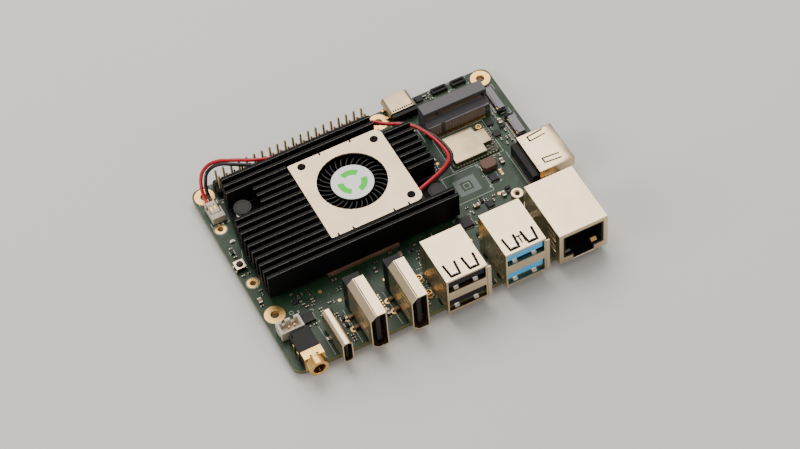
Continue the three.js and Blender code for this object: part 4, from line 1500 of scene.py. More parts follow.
# ---------- fan lead ----------
@dataclass
class FanLead:
    """The blower's two wires, their plug and its socket at the board's left edge."""

    diameter: float = 1.1
    ways: tuple[float, float] = (2.95, 4.25)
    red: Sequence[Triple] = (
        (57.7, 34.8, 9.1), (60.7, 35.8, 9.2), (64.0, 37.0, 9.1), (67.6, 38.8, 8.7), (70.3, 41.0, 8.1),
        (71.6, 43.8, 7.5), (71.6, 47.4, 7.1), (70.8, 52.0, 6.9), (69.2, 56.4, 6.8), (67.4, 59.4, 6.7),
        (64.4, 61.9, 6.5), (61.0, 64.1, 6.3), (58.3, 66.4, 6.4), (55.0, 67.5, 6.8), (48.0, 67.5, 7.3),
        (38.0, 67.4, 7.7), (30.0, 67.4, 7.95), (26.3, 67.4, 8.3), (22.7, 67.9, 9.0), (19.5, 68.9, 9.5),
        (16.6, 70.4, 9.6), (13.6, 72.2, 9.4), (10.7, 74.0, 8.9), (7.9, 74.9, 7.9), (5.2, 74.0, 6.7),
        (3.8, 72.2, 5.4), (3.1, 70.2, 3.6), (2.95, 68.2, 2.0), (2.95, 66.6, 1.6),
    )
    black: Sequence[Triple] = (
        (57.7, 34.8, 7.5), (60.7, 35.9, 7.5), (64.2, 37.3, 7.3), (68.2, 39.2, 7.0), (71.4, 41.4, 6.5),
        (73.0, 44.2, 6.0), (73.1, 47.8, 5.7), (72.3, 52.4, 5.5), (70.4, 56.8, 5.4), (68.7, 60.2, 5.3),
        (65.6, 62.9, 5.1), (62.0, 64.9, 4.9), (58.8, 66.8, 4.9), (55.4, 67.5, 5.2), (48.0, 67.5, 5.8),
        (38.0, 67.4, 6.2), (30.0, 67.4, 6.5), (24.4, 67.3, 7.1), (21.6, 67.1, 8.0), (19.2, 67.4, 8.9),
        (16.2, 68.8, 9.4), (13.4, 70.6, 9.4), (10.8, 72.3, 9.2), (8.4, 73.3, 8.2), (6.2, 72.9, 7.0),
        (4.95, 71.4, 5.2), (4.35, 69.9, 3.4), (4.25, 68.2, 2.0), (4.25, 66.6, 1.6),
    )

    @staticmethod
    def smooth(route: Sequence[Triple], steps: int = 6) -> list[Vector]:
        """Runs one smooth curve through a route's points.

        Args:
            route: The points.
            steps: How many steps there are between two points.

        Returns:
            Points along the curve, in metres.
        """
        points = [spot(*p) for p in route]
        points = [points[0] * 2 - points[1], *points, points[-1] * 2 - points[-2]]
        line = []
        for a, b, c, d in zip(points, points[1:], points[2:], points[3:]):
            knots = [0.0]
            for start, end in ((a, b), (b, c), (c, d)):
                knots.append(knots[-1] + math.sqrt((end - start).length))
            for step in range(steps):
                t = knots[1] + (knots[2] - knots[1]) * step / steps

                def between(p: Vector, q: Vector, i: int, j: int) -> Vector:
                    """Blends two points by where t lies between two knots."""
                    return p.lerp(q, (t - knots[i]) / (knots[j] - knots[i]))

                ab, bc, cd = between(a, b, 0, 1), between(b, c, 1, 2), between(c, d, 2, 3)
                line.append(between(between(ab, bc, 0, 2), between(bc, cd, 1, 3), 1, 2))
        return [*line, points[-2]]

    def wire(self, name: str, route: Sequence[Triple], finish: Finish) -> tuple[Piece, float]:
        """Lays one wire along its route.

        Args:
            name: The wire's name.
            route: Its points.
            finish: Its insulation.

        Returns:
            The wire and its length in metres.
        """
        line = self.smooth(route)
        curve = bpy.data.curves.new(name, "CURVE")
        curve.dimensions = "3D"
        curve.bevel_depth = self.diameter / 2 * MM
        curve.bevel_resolution = 4
        curve.use_fill_caps = True
        spline = curve.splines.new("POLY")
        spline.points.add(len(line) - 1)
        for point, place in zip(spline.points, line):
            point.co = (*place, 1.0)
        piece = bpy.data.objects.new(name, curve)
        bpy.context.scene.collection.objects.link(piece)
        curve.materials.append(material_of(finish))
        return piece, sum((b - a).length for a, b in zip(line, line[1:]))

    def plug(self) -> Piece:
        """Models the plug: a moulded block with two crimp windows.

        Returns:
            The plug.
        """
        low, high = node_box("fan_plug")
        shell = span("block", low, high)
        window = (low.y + 1.2, low.y + 3.2), (high.z - 0.5, high.z + 1)
        carve(shell, *(box("window", (x - 0.35, x + 0.35), *window) for x in self.ways))
        crimp = (low.y + 1.3, low.y + 3.1), (high.z - 0.6, high.z - 0.35)
        crimps = [dress(box("crimp", (x - 0.25, x + 0.25), *crimp), GOLD) for x in self.ways]
        return merge("lead_plug", [dress(soften(shell, 0.12), WHITE), *crimps])

    def socket(self) -> Piece:
        """Models the plug's socket: walls with a lead-in, side slots and two solder feet.

        Returns:
            The socket.
        """
        low, high = node_box("fan_socket")
        walls = span("walls", low, high)
        cuts = [
            box("mouth", (low.x + 0.4, high.x - 0.4), (low.y + 2.0, high.y + 1), (0.5, high.z + 0.5)),
            box("slot", (low.x - 1, high.x + 1), (high.y - 2.4, high.y - 1.3), (1.2, high.z + 1)),
        ]
        carve(walls, *cuts)
        feet = blocks("foot", self.ways, [low.y - 0.35], (0.3, 0.65), (0.0, 0.25), TIN, 0.05)
        return merge("lead_socket", [dress(soften(walls, 0.14), WHITE), *feet])

    def build(self) -> None:
        plug = fit(self.plug(), "white_plastic", "fan_plug")
        for colour, route, finish in (("red", self.red, RED_WIRE), ("black", self.black, BLACK_WIRE)):
            piece, length = self.wire(f"lead_{colour}", route, finish)
            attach(piece, "computer")
            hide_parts(f"fan_wire_{colour}")
            LOG.info("lead_%s: %.1f mm long", colour, length / MM)
        fit(self.socket(), "white_plastic", "fan_socket")


# ---------- pin header ----------
@dataclass
class PinHeader:
    """The two-row pin header."""

    pitch: float = 2.54
    columns: int = 20
    base: float = 2.54
    pin: float = 0.64

    def housing(self) -> Piece:
        """Models the black strip: one cell with cut corners, repeated.

        Returns:
            The strip.
        """
        low, _ = node_box("gpio_header")
        pitch = self.pitch
        cell = box("cell", (low.x, low.x + pitch), (low.y, low.y + 2 * pitch), (SEAT, self.base))
        corners = [(low.x + i * pitch, low.y + j * pitch, -1) for i in (0, 1) for j in (0, 1, 2)]
        carve(cell, *(drum("notch", corner, 0.55, 5, 4) for corner in corners))
        strip = dress(soften(row(cell, self.columns, (pitch, 0, 0)), 0.05, 1), BLACK)
        strip.name = "header_strip"
        return strip

    def pins(self) -> Piece:
        """Models the gold pins with pointed ends.

        Returns:
            The pins.
        """
        low, high = node_box("gpio_header")
        x, y = low.x + self.pitch / 2, low.y + self.pitch / 2
        half, point = self.pin / 2, 0.5
        pin = box("header_pins", (x - half, x + half), (y - half, y + half), (low.z + point, high.z - point))
        for side in (1, -1):
            with shaping(pin, facing(z=side)):
                bpy.ops.mesh.extrude_region_move(TRANSFORM_OT_translate={"value": (0, 0, point * side * MM)})
                bpy.ops.transform.resize(value=(0.45, 0.45, 1))
        soften(pin, 0.04, 1)
        return dress(row(row(pin, self.columns, (self.pitch, 0, 0)), 2, (0, self.pitch, 0)), PIN_GOLD)

    def build(self) -> None:
        """Builds and fits the header."""
        fit(self.housing(), "black_plastic")
        fit(self.pins(), "gold", "gpio_header")


# ---------- ports ----------
def leaf(name: str, x: Triple, y: Triple, z: float, degrees: float) -> Piece:
    """Models one spring leaf that leans up into a mouth.

    Args:
        name: The leaf's name.
        x: Its lowest and highest x.
        y: Its lowest and highest y, hinged at the first.
        z: Its height at the hinge.
        degrees: How far it leans.

    Returns:
        The leaf.
    """
    strip = box(name, x, y, (z - 0.09, z + 0.09))
    with shaping(strip):
        bpy.ops.mesh.bisect(plane_co=spot(0, y[0] + (y[1] - y[0]) * 0.7, 0), plane_no=(0, 1, 0))
    tip = spot(0, y[1], 0).y
    for vertex in strip.data.vertices:
        if abs(vertex.co.y - tip) < 1e-6:
            vertex.co.z += 0.35 * MM
    return dress(soften(tilt(strip, degrees, "X", (x[0], y[0], z)), 0.05, 1), BRIGHT)


@dataclass
class StackedUsb:
    """Two USB ports above each other in one shell.

    Attributes:
        kind: usb2 or usb3.
        tongue: The finish of its tongues.
        flange: How far the earthing lip stands out on the right.
        skin: The sheet's thickness.
        mouth: Half a mouth's width.
        mouths: The lowest and highest z of its mouths.
        legs: How far its legs stand behind the front.
    """

    kind: str
    tongue: Finish
    flange: float = 1.2
    skin: float = 0.35
    mouth: float = 5.95
    mouths: Sequence[Triple] = ((1.1, 6.2), (9.7, 14.6))
    legs: Triple = (4.9, 12.9)

    def cutters(self) -> list[Piece]:
        """Makes the cutters of the shell: its hollow, its mouths and the slots round its spring leaves.

        Returns:
            The cutters.
        """
        low, high = node_box(f"{self.kind}_shell")
        left, right, front, back, top = low.x, high.x - self.flange, low.y, high.y, high.z
        middle = (left + right) / 2
        hollow = (-1, top - self.skin)
        cuts = [box("hollow", (left + self.skin, right - self.skin), (front + 1.2, back - self.skin), hollow)]
        for z in self.mouths:
            cuts.append(box("mouth", (middle - self.mouth, middle + self.mouth), (front - 1, front + 2), z))
        lines = []
        for x in (left + 3.6, right - 3.5):
            for side in (-1, 1):
                lines.append((x + side * 1.8, front + 5.9, x + side * 1.35, front + 1.0, 0.75))
            lines.append((x - 1.7, front + 1.2, x + 1.7, front + 1.2, 0.8))
        if self.kind == "usb3":
            for x in (middle - 1.15, middle, middle + 1.15):
                lines.append((x, front + 1.9, x, front + 4.6, 0.45))
            lines.append((middle - 1.3, front + 4.6, middle + 1.3, front + 4.6, 0.45))
        cuts += top_slots(top, 1.6, *lines)
        wall, run = (left - 1, left + 0.8), (front + 1.9, front + 6.4)
        for z in (4.1, 12.0):
            cuts += leaf_slot(wall, run, (z - 1.5, z + 1.5), 0.3, 0.4)
        return cuts

    def shell(self) -> Piece:
        """Folds the shell: mouths, hollow, spring slots in the top and sides, and an earthing lip.

        Returns:
            The shell.
        """
        low, high = node_box(f"{self.kind}_shell")
        left, right, front, back, top = low.x, high.x - self.flange, low.y, high.y, high.z
        shell = carve(box("shell", (left, right), (front, back), (SEAT, top)), *self.cutters())
        lip = box("lip", (right - 0.2, high.x), (front, front + 0.35), (0.4, 14.0))
        with shaping(lip, facing(x=1)):
            bpy.ops.mesh.inset(thickness=0.05 * MM)
        seam = box("seam", (left - 0.02, left + 0.1), (back - 3.2, back - 3.05), (SEAT, top - 0.4))
        parts = [dress(soften(shell, 0.13), NICKEL), dress(soften(lip, 0.12), NICKEL), dress(seam, BLACK)]
        columns, rows = (left + 0.2, right - 0.2), [front + leg for leg in self.legs]
        parts += blocks("leg", columns, rows, (0.2, 0.8), (low.z, 1.0), NICKEL, 0.08, 1)
        for x in (left + 3.6, right - 3.5):
            tip = box("tip", (x - 0.8, x + 0.8), (front + 1.7, front + 2.7), (top - 0.02, top + 0.04))
            parts.append(dress(tilt(tip, -9, "X", (x, front + 2.7, top)), BRIGHT))
        return merge(f"{self.kind}_housing", parts)

    def springs(self) -> Piece:
        """Models the bright earthing leaves inside the two mouths.

        Returns:
            The leaves.
        """
        low, high = node_box(f"{self.kind}_shell")
        middle = (low.x + high.x - self.flange) / 2
        y = (low.y + 0.5, low.y + 1.7)
        parts = [
            leaf("leaf", (x - 0.75, x + 0.75), y, bottom + 0.1, 30)
            for bottom, _ in self.mouths
            for x in (middle - 3.2, middle + 3.0)
        ]
        return merge(f"{self.kind}_springs", parts)

    def core(self) -> Piece:
        """Models the moulded core, its two tongues and their contacts.

        Returns:
            The core.
        """
        low, high = node_box(f"{self.kind}_shell")
        left, right, front, back = low.x, high.x - self.flange, low.y, high.y
        inset = self.skin + 0.3
        body = (left + inset, right - inset), (front + 10.6, back - inset), (SEAT, high.z - inset)
        parts = [block("block", *body, BLACK, 0.1)]
        for _, top in self.mouths:
            under = top - 3.4
            tongue = (left + 0.75, right - 0.75), (front + 0.6, front + 10.8), (under, top - 0.3)
            parts.append(block("tongue", *tongue, self.tongue, 0.25, 3))
            strip = (left + 2.4, left + 3.4), (front + 2.5, front + 9.6), (under - 0.06, under + 0.05)
            parts.append(row(block("contact", *strip, GOLD, 0.04, 1), 4, (2.4, 0, 0)))
            liner = (left + 0.7, right - 0.7), (front + 2.0, front + 10.7), (top - 5.0, top - 4.7)
            parts.append(block("liner", *liner, BLACK, 0.05, 1))
            lid = (left + 0.8, right - 0.8), (front + 0.9, front + 8.0), (top - 0.25, top - 0.1)
        parts.append(block("lid", *lid, BLACK, 0.04, 1))
        return merge(f"{self.kind}_moulding", parts)

    def build(self) -> None:
        """Builds and fits one stack."""
        fit(self.shell(), "nickel", f"{self.kind}_shell")
        fit(self.springs(), "nickel")
        slot = "blue_plastic" if self.tongue is BLUE else "black_plastic"
        fit(self.core(), slot, f"{self.kind}_core")


@dataclass
class NetworkPort:
    """The network port: a folded shell round a black jack with eight contacts."""

    skin: float = 0.35
    mouth_x: Triple = (85.0, 96.9)
    mouth_z: Triple = (3.0, 11.2)
    deep: float = 12.5
    legs: Triple = (9.3, 17.3)

    def shell(self) -> Piece:
        """Folds the shell, with a face plate round the mouth and springs in its sides.

        Returns:
            The shell.
        """
        low, high = node_box("network_port_shell")
        front, back, top = low.y, high.y, high.z
        (x0, x1), (z0, z1) = self.mouth_x, self.mouth_z
        middle, through = (x0 + x1) / 2, (front - 1, front + 2)
        shell = box("shell", (low.x, high.x), (front, back), (SEAT, top))
        skin = self.skin
        hollow = (low.x + skin, high.x - skin), (front + 0.3, back - skin), (-1, top - skin)
        cuts = [
            box("hollow", *hollow),
            box("mouth", (x0 - 0.6, x1 + 0.6), through, (z0 - 0.7, z1 + 0.7)),
            box("latch", (middle - 3.4, middle + 3.4), through, (0.5, 4)),
        ]
        for z in (3.6, 8.4):
            cuts += leaf_slot((low.x - 1, low.x + 1), (front + 2.3, front + 7.2), (z, z + 2.5), 0.3, 0.35)
        parts = [dress(soften(carve(shell, *cuts), 0.14), NICKEL)]
        columns, rows = (low.x + 0.2, high.x - 0.2), [front + leg for leg in self.legs]
        parts += blocks("leg", columns, rows, (0.2, 0.8), (low.z, 1.0), NICKEL, 0.08, 1)
        floor = z0 - 0.3
        for x, rise, finish in ((x0 + 0.4, 0.5, STEEL), (x1 - 2.9, 0.9, GOLD)):
            spring = box("spring", (x, x + 1.9), (front + 0.6, front + 1.9), (floor - 0.1, floor + 0.1))
            with shaping(spring, facing(y=1)):
                bpy.ops.transform.translate(value=(0, 0, rise * MM))
            parts.append(dress(soften(spring, 0.06), finish))
        x, z = low.x + 0.05, top - 0.3
        parts.append(dress(bar_between("fold", (x, front + 0.9, z), (x, back - 0.4, z), 0.14, 0.06), STEEL))
        return merge("network_port_housing", parts)

    def jack(self) -> Piece:
        """Models the black jack and the eight slanted contact wires in it.

        Returns:
            The jack.
        """
        low, _ = node_box("network_port_core")
        body = dress(traced("network_port_core", "jack", 0.12), BLACK)
        first, y, z = sum(self.mouth_x) / 2 - 3.5, low.y + 3.8, 7.0
        wire = box("wire", (first - 0.18, first + 0.18), (y, low.y + self.deep - 0.6), (z, z + 0.2))
        tilt(wire, 16, "X", (first, y, z))
        wires = row(soften(wire, 0.05, 1), 8, (1.02, 0, 0))
        return merge("network_port_jack", [body, dress(wires, GOLD)])

    def build(self) -> None:
        """Builds and fits the port."""
        fit(self.shell(), "nickel", "network_port_shell")
        fit(self.jack(), "black_plastic", "network_port_core")


@dataclass
class UprightHdmi:
    """An HDMI port that stands on its narrow side.

    Attributes:
        number: Which of the two it is.
        foot: How far its feet stand out on the left.
        skin: The sheet's thickness.
        chamfer: The size of its two cut corners.
        legs: How far its legs stand behind the front.
    """

    number: int
    foot: float = 1.3
    skin: float = 0.35
    chamfer: float = 1.8
    legs: Triple = (9.4, 13.4)

    def tube(self, name: str, inset: float, x: Triple, y: Triple, z: Triple) -> Piece:
        """Models the five-sided bar of the port, smaller by an inset.

        Args:
            name: The object's name.
            inset: How far every side moves in.
            x: The port's lowest and highest x.
            y: The bar's lowest and highest y.
            z: The port's lowest and highest z.

        Returns:
            The bar.
        """
        bar = box(name, (x[0] + inset, x[1] - inset), y, (z[0] + inset, z[1] - inset))
        left = spot(x[0] + inset, 0, 0).x
        pick(bar)
        bpy.ops.object.mode_set(mode="EDIT")
        bpy.ops.mesh.select_mode(type="EDGE")
        bpy.ops.mesh.select_all(action="DESELECT")
        bpy.ops.object.mode_set(mode="OBJECT")
        for edge in bar.data.edges:
            a, b = (bar.data.vertices[v].co for v in edge.vertices)
            edge.select = abs(a.x - left) < 1e-6 and abs(b.x - left) < 1e-6 and abs(a.z - b.z) < 1e-6
        bpy.ops.object.mode_set(mode="EDIT")
        bpy.ops.mesh.bevel(offset=(self.chamfer - inset * 0.4) * MM, offset_type="OFFSET", segments=1)
        bpy.ops.object.mode_set(mode="OBJECT")
        return bar

    def shell(self) -> Piece:
        """Folds the shell with its seam, spring slots and feet.

        Returns:
            The shell.
        """
        low, high = node_box(f"hdmi_{self.number}_shell")
        x, y, z = (low.x + self.foot, high.x), (low.y, high.y), (0.25, high.z)
        shell = self.tube("shell", 0.0, x, y, z)
        cuts = [self.tube("hollow", self.skin, x, (y[0] - 1, y[1] + 1), z)]
        for middle in (5.0, 10.8):
            wide = (middle - 1.2, middle + 1.2)
            cuts += leaf_slot((x[0] - 1, x[0] + 0.8), (y[0] + 2.2, y[0] + 8.0), wide, 0.25, 0.3)
            cuts += leaf_slot((x[1] - 0.8, x[1] + 1), (y[0] + 2.4, y[0] + 8.0), wide, 0.25)
        line, run = x[0] + self.chamfer + 0.25, (y[0] + 0.25, y[1] - 0.2)
        cuts.append(box("groove", (line, line + 0.22), run, (z[1] - 0.16, z[1] + 1)))
        parts = [dress(soften(carve(shell, *cuts), 0.1), NICKEL)]
        rows = [y[0] + leg for leg in self.legs]
        reach = (self.foot + 0.1) / 2
        # painted shade: the metal feet and legs take the dark brown carrier finish in place of a plated one
        parts += blocks("foot", [low.x + reach], rows, (reach, 0.55), (0.75, 1.05), CARRIER)
        parts += blocks("leg", [low.x + 0.15], rows, (0.15, 0.55), (low.z, 1.0), CARRIER, 0.06, 1)
        parts += blocks("leg", [x[1] - 0.2], rows, (0.2, 0.8), (low.z, 1.2), CARRIER, 0.08, 1)
        parts.append(dress(box("seam", (line - 0.02, line + 0.24), run, (z[1] - 0.17, z[1] - 0.1)), RESIN))
        parts += [dress(washer("eye", (low.x - 0.2, leg, 0), 0.5, 1.0, 0.03, sides=20), GOLD) for leg in rows]
        return merge(f"hdmi_{self.number}_housing", parts)

    def core(self) -> Piece:
        """Models the insulator, the tongue and its contacts.

        Returns:
            The core.
        """
        low, _ = node_box(f"hdmi_{self.number}_shell")
        body = dress(traced(f"hdmi_{self.number}_core", "core", 0.12), BLACK)
        middle = low.x + self.foot + 2.8
        strips = [
            row(box("contact", (x, x + 0.08), (low.y + 1.5, low.y + 7.4), (2.9, 3.25)), 10, (0, 0, 1.02))
            for x in (middle - 0.74, middle + 0.66)
        ]
        return merge(f"hdmi_{self.number}_moulding", [body, dress(merge("contacts", strips), GOLD)])

    def build(self) -> None:
        """Builds and fits the port."""
        fit(self.shell(), "nickel", f"hdmi_{self.number}_shell")
        fit(self.core(), "black_plastic", f"hdmi_{self.number}_core")


@dataclass
class SideHdmi:
    """The HDMI port that lies flat on the right edge."""

    def shell(self) -> Piece:
        """Folds the shell, with two spring leaves cut in its top and a hooked rear edge.

        Returns:
            The shell.
        """
        low, high = node_box("hdmi_side_shell")
        shell = traced("hdmi_side_shell", "shell", 0.12)
        front, back, top = low.y + 1.0, high.y, high.z
        start, end = low.x + 3.0, high.x - 3.2
        lines = []
        for y, lean in ((back - 2.2, 0.5), (front + 3.4, -0.5)):
            lines += [(start, y + side, end, y + side + lean, 0.48) for side in (-0.9, 0.9)]
            lines.append((start, y - 1.1, start, y + 1.1, 0.5))
        dress(carve(shell, *top_slots(top, 1.5, *lines)), NICKEL)
        x = low.x + 0.9
        fold = dress(bar_between("fold", (x, front + 0.7, top), (x, back - 0.7, top), 0.12, 0.05), STEEL)
        rows, rise = (front + 2.85, back - 2.75), (top - 0.02, top + 0.12)
        hooks = blocks("hook", [low.x + 0.65], rows, (0.55, 0.65), rise, NICKEL, 0.05, 1)
        return merge("hdmi_side_housing", [shell, fold, *hooks])

    def core(self) -> Piece:
        """Models the insulator, its rear contacts and the contacts on its tongue.

        Returns:
            The core.
        """
        low, high = node_box("hdmi_side_core")
        body = dress(traced("hdmi_side_core", "core", 0.12), BLACK)
        tail = (low.x - 0.55, low.x + 0.1), (low.y + 1.4, low.y + 1.65), (0.0, 0.22)
        tails = row(block("tail", *tail, TIN, 0.04, 1), 19, (0, 0.6, 0))
        strip = (low.x + 6.9, high.x - 0.2), (low.y + 1.6, low.y + 1.9), (3.55, 3.66)
        strips = row(dress(box("contact", *strip), GOLD), 16, (0, 0.66, 0))
        return merge("hdmi_side_moulding", [body, tails, strips])

    def build(self) -> None:
        """Builds and fits the port."""
        fit(self.shell(), "nickel", "hdmi_side_shell")
        fit(self.core(), "black_plastic", "hdmi_side_core")


@dataclass
class UsbC:
    """The two small reversible sockets: one upright at the front, one flat at the back."""

    pitch: float = 0.5

    def front(self) -> None:
        """Builds and fits the upright socket."""
        low, high = node_box("usb_c_front_shell")
        shell = dress(traced("usb_c_front_shell", "shell", 0.12, 3), NICKEL)
        band = (low.x - 0.02, high.x + 0.02), (high.y - 2.6, high.y - 2.2), (0.3, high.z - 1.2)
        collar = block("collar", *band, STEEL, 0.1)
        lug = block("lug", (low.x - 0.7, low.x + 0.3), (high.y - 4.2, high.y - 3.0), (0.02, 0.4), TIN)
        fit(merge("usb_c_front_housing", [shell, collar, lug]), "nickel", "usb_c_front_shell")
        core = dress(traced("usb_c_front_core", "core", 0.06), BLACK)
        x = (low.x + high.x) / 2 - 0.4
        strip = dress(box("contact", (x, x + 0.06), (low.y + 1.2, low.y + 6.2), (1.9, 2.15)), GOLD)
        parts = [core, row(strip, 12, (0, 0, self.pitch))]
        fit(merge("usb_c_front_moulding", parts), "black_plastic", "usb_c_front_core")

    def back(self) -> None:
        """Builds and fits the flat socket, with its row of openings and copper legs."""
        low, high = node_box("usb_c_back_shell")
        shell = traced("usb_c_back_shell", "shell", 0.1, 3)
        cut = (low.x + 1.2, low.x + 1.65), (low.y + 0.35, low.y + 1.0), (high.z - 0.9, high.z + 1)
        dress(carve(shell, row(box("opening", *cut), 9, (0.75, 0, 0))), SHEET)
        rows = (low.y + 1.45, low.y + 4.65)
        legs = blocks("leg", [low.x - 0.35], rows, (0.55, 0.45), (0.0, 0.7), GOLD, 0.1)
        fit(merge("usb_c_back_housing", [shell, *legs]), "nickel", "usb_c_back_shell")
        low, _ = node_box("usb_c_back_core")
        core = dress(traced("usb_c_back_core", "core", 0.08), BLACK)
        tail = dress(box("tail", (low.x + 0.9, low.x + 1.1), (low.y - 0.6, low.y + 0.1), (0.0, 0.2)), TIN)
        parts = [core, row(tail, 13, (self.pitch, 0, 0))]
        fit(merge("usb_c_back_moulding", parts), "black_plastic", "usb_c_back_core")

    def build(self) -> None:
        """Builds both sockets."""
        self.front()
        self.back()


@dataclass
class AudioJack:
    """The headphone jack: a black body with a gilt face, top cap and barrel."""

    axis: tuple[float, float] = (5.9, 3.3)
    barrel: float = 2.9
    bore: float = 1.85

    def metal(self) -> Piece:
        """Turns the barrel and folds the face and the notched cap.

        Returns:
            The metal.
        """
        low, high = node_box("audio_jack_barrel")
        x, z = self.axis
        face = box("face", (low.x, high.x), (-0.7, 0.3), (SEAT, 5.0))
        carve(face, drum("hole", (x, -2, z), self.bore, 4, 36, Along.Y))
        cap = box("cap", (low.x, high.x), (-0.55, 2.5), (5.05, 5.4))
        carve(cap, *(box("notch", (n, n + 0.6), (-1.5, 0.35), (4.9, 6)) for n in (low.x + 1.9, high.x - 2.4)))
        barrel = washer("barrel", (x, low.y, z), self.bore, self.barrel, 3.15, Along.Y, 44)
        collar = washer("collar", (x, -1.15, z), self.bore, self.barrel, 0.5, Along.Y, 44)
        bead = soften(drum("bead", (high.x + 0.45, 1.3, 0.0), 0.42, 0.75, 18), 0.2, 3)
        parts = [soften(face, 0.1), soften(cap, 0.08), soften(barrel, 0.18, 3), soften(collar, 0.05), bead]
        parts += blocks("finger", [low.x - 0.075], (4.1, 6.9), (0.175, 0.5), (0.05, 3.4), GOLD)
        return dress(merge("audio_jack_metal", parts), GOLD)

    def body(self) -> Piece:
        """Models the black body with its bore, a groove and a corner step in its top, and two solder tabs.

        Returns:
            The body.
        """
        low, high = node_box("audio_jack_body")
        x, z = self.axis
        body, top = span("body", low, high), high.z
        cuts = [
            drum("bore", (x, low.y - 1, z), self.bore - 0.4, 8.6, 32, Along.Y),
            box("groove", (low.x + 1.2, high.x - 1.2), (high.y - 0.5, high.y - 0.3), (top - 0.15, top + 1)),
            box("step", (low.x - 1, low.x + 0.7), (high.y - 2.2, high.y + 1), (top - 1.2, top + 1)),
        ]
        carve(body, *cuts)
        columns = (low.x + 1.25, high.x - 1.45)
        tabs = blocks("tab", columns, [high.y + 0.175], (0.45, 0.375), (0.0, 0.35), TIN, 0.06)
        return merge("audio_jack_moulding", [dress(soften(body, 0.18), BLACK), *tabs])

    def build(self) -> None:
        """Builds and fits the jack."""
        fit(self.metal(), "gold", "audio_jack_barrel")
        fit(self.body(), "black_plastic", "audio_jack_body")


@dataclass
class BatteryConnector:
    """The small two-way connector behind the audio jack."""

    ways: tuple[float, float] = (4.55, 6.35)

    def build(self) -> None:
        """Builds and fits the connector: notched walls, two pins and side anchors."""
        low, high = node_box("battery_connector")
        parts = [dress(traced("battery_connector", "walls", 0.14), WHITE)]
        parts += blocks("pin", self.ways, [low.y + 1.95], (0.25, 0.25), (1.0, 3.2), GOLD)
        parts += blocks("anchor", (low.x, high.x), [low.y + 2.3], (0.25, 1.1), (0.0, 1.4), TIN, 0.06)
        parts += blocks("foot", self.ways, [high.y + 0.4], (0.25, 0.5), (0.0, 0.25), TIN, 0.05)
        fit(merge("battery_socket", parts), "white_plastic", "battery_connector")


# ---------- sockets ----------
@dataclass
class CardSocket:
    """The edge socket for an expansion card, with its two rows of contacts, and the card's standoff."""

    pitch: float = 0.5
    left: float = 72.7
    right: float = 77.9
    feet: int = 37

    def socket(self) -> Piece:
        """Models the grey socket with its contact rows and solder feet.

        Returns:
            The socket.
        """
        low, high = node_box("m2_socket")
        parts = [dress(traced("m2_socket", "body", 0.16, 3), GREY)]
        step = (self.pitch, 0, 0)
        for x, count in ((self.right, int((high.x - 1.2 - self.right) / self.pitch)), (self.left, 7)):
            for start, z in ((2.4, (6.02, 6.3)), (4.3, (6.1, 7.7))):
                contact = box("contact", (x, x + 0.3), (low.y + start, high.y - 1.7), z)
                parts.append(dress(row(contact, count, step), CONTACT))
            blade = box("blade", (x, x + 0.28), (low.y + 0.35, low.y + 2.1), (5.0, 5.12))
            with shaping(blade, facing(y=-1)):
                bpy.ops.transform.translate(value=(0, 0, -0.42 * MM))
            parts.append(dress(row(blade, count, step), CONTACT))
        x = self.left - 0.1
        foot = block("foot", (x, x + 0.22), (low.y - 0.9, low.y + 0.2), (0.0, 0.24), GOLD, 0.03, 1)
        stem = dress(box("stem", (x, x + 0.3), (low.y - 0.06, low.y + 0.1), (0.5, 4.1)), CONTACT)
        parts += [row(foot, self.feet, step), row(stem, self.feet, step)]
        plate = (low.x + 0.9, high.x - 0.9), (low.y - 0.02, low.y + 0.1), (0.9, 4.2)
        parts.append(block("plate", *plate, GREY, 0.02, 1))
        rib = (low.x + 0.4, high.x - 0.4), (low.y - 0.08, low.y + 0.3)
        for z in ((4.2, 4.7), (2.3, 2.5)):
            parts.append(block("rib", *rib, z, LATCH, 0.06))
        parts.append(block("key", (76.2, 77.6), (low.y - 0.1, low.y + 2.2), (0.3, 4.7), GREY, 0.06))
        columns = (low.x - 0.1, high.x + 0.1)
        parts += blocks("tab", columns, [low.y + 2.5], (0.4, 1.1), (0.0, 1.2), TIN, 0.1)
        return merge("card_socket", parts)

    def standoff(self) -> Piece:
        """Turns the standoff with its flange and threaded bore.

        Returns:
            The standoff.
        """
        low, high = node_box("m2_standoff")
        x, y = middle_of(low, high)
        radius = (high.x - low.x) / 2
        tube = soften(washer("tube", (x, y, low.z), 0.95, radius, high.z - low.z, sides=40), 0.14, 2)
        heights = [high.z - 0.5 - 0.42 * i for i in range(6)]
        threads = [washer("thread", (x, y, z), 0.78, 0.96, 0.16, sides=28) for z in heights]
        flange = soften(washer("flange", (x, y, low.z), radius - 0.4, radius + 0.35, 0.5, sides=40), 0.1)
        floor = drum("floor", (x, y, low.z), 1.0, 0.6, 24)
        return dress(merge("card_standoff", [tube, flange, floor, *threads]), NICKEL)

    def build(self) -> None:
        """Builds and fits the socket and the standoff."""
        fit(self.socket(), "grey_plastic", "m2_socket")
        fit(self.standoff(), "steel", "m2_standoff")


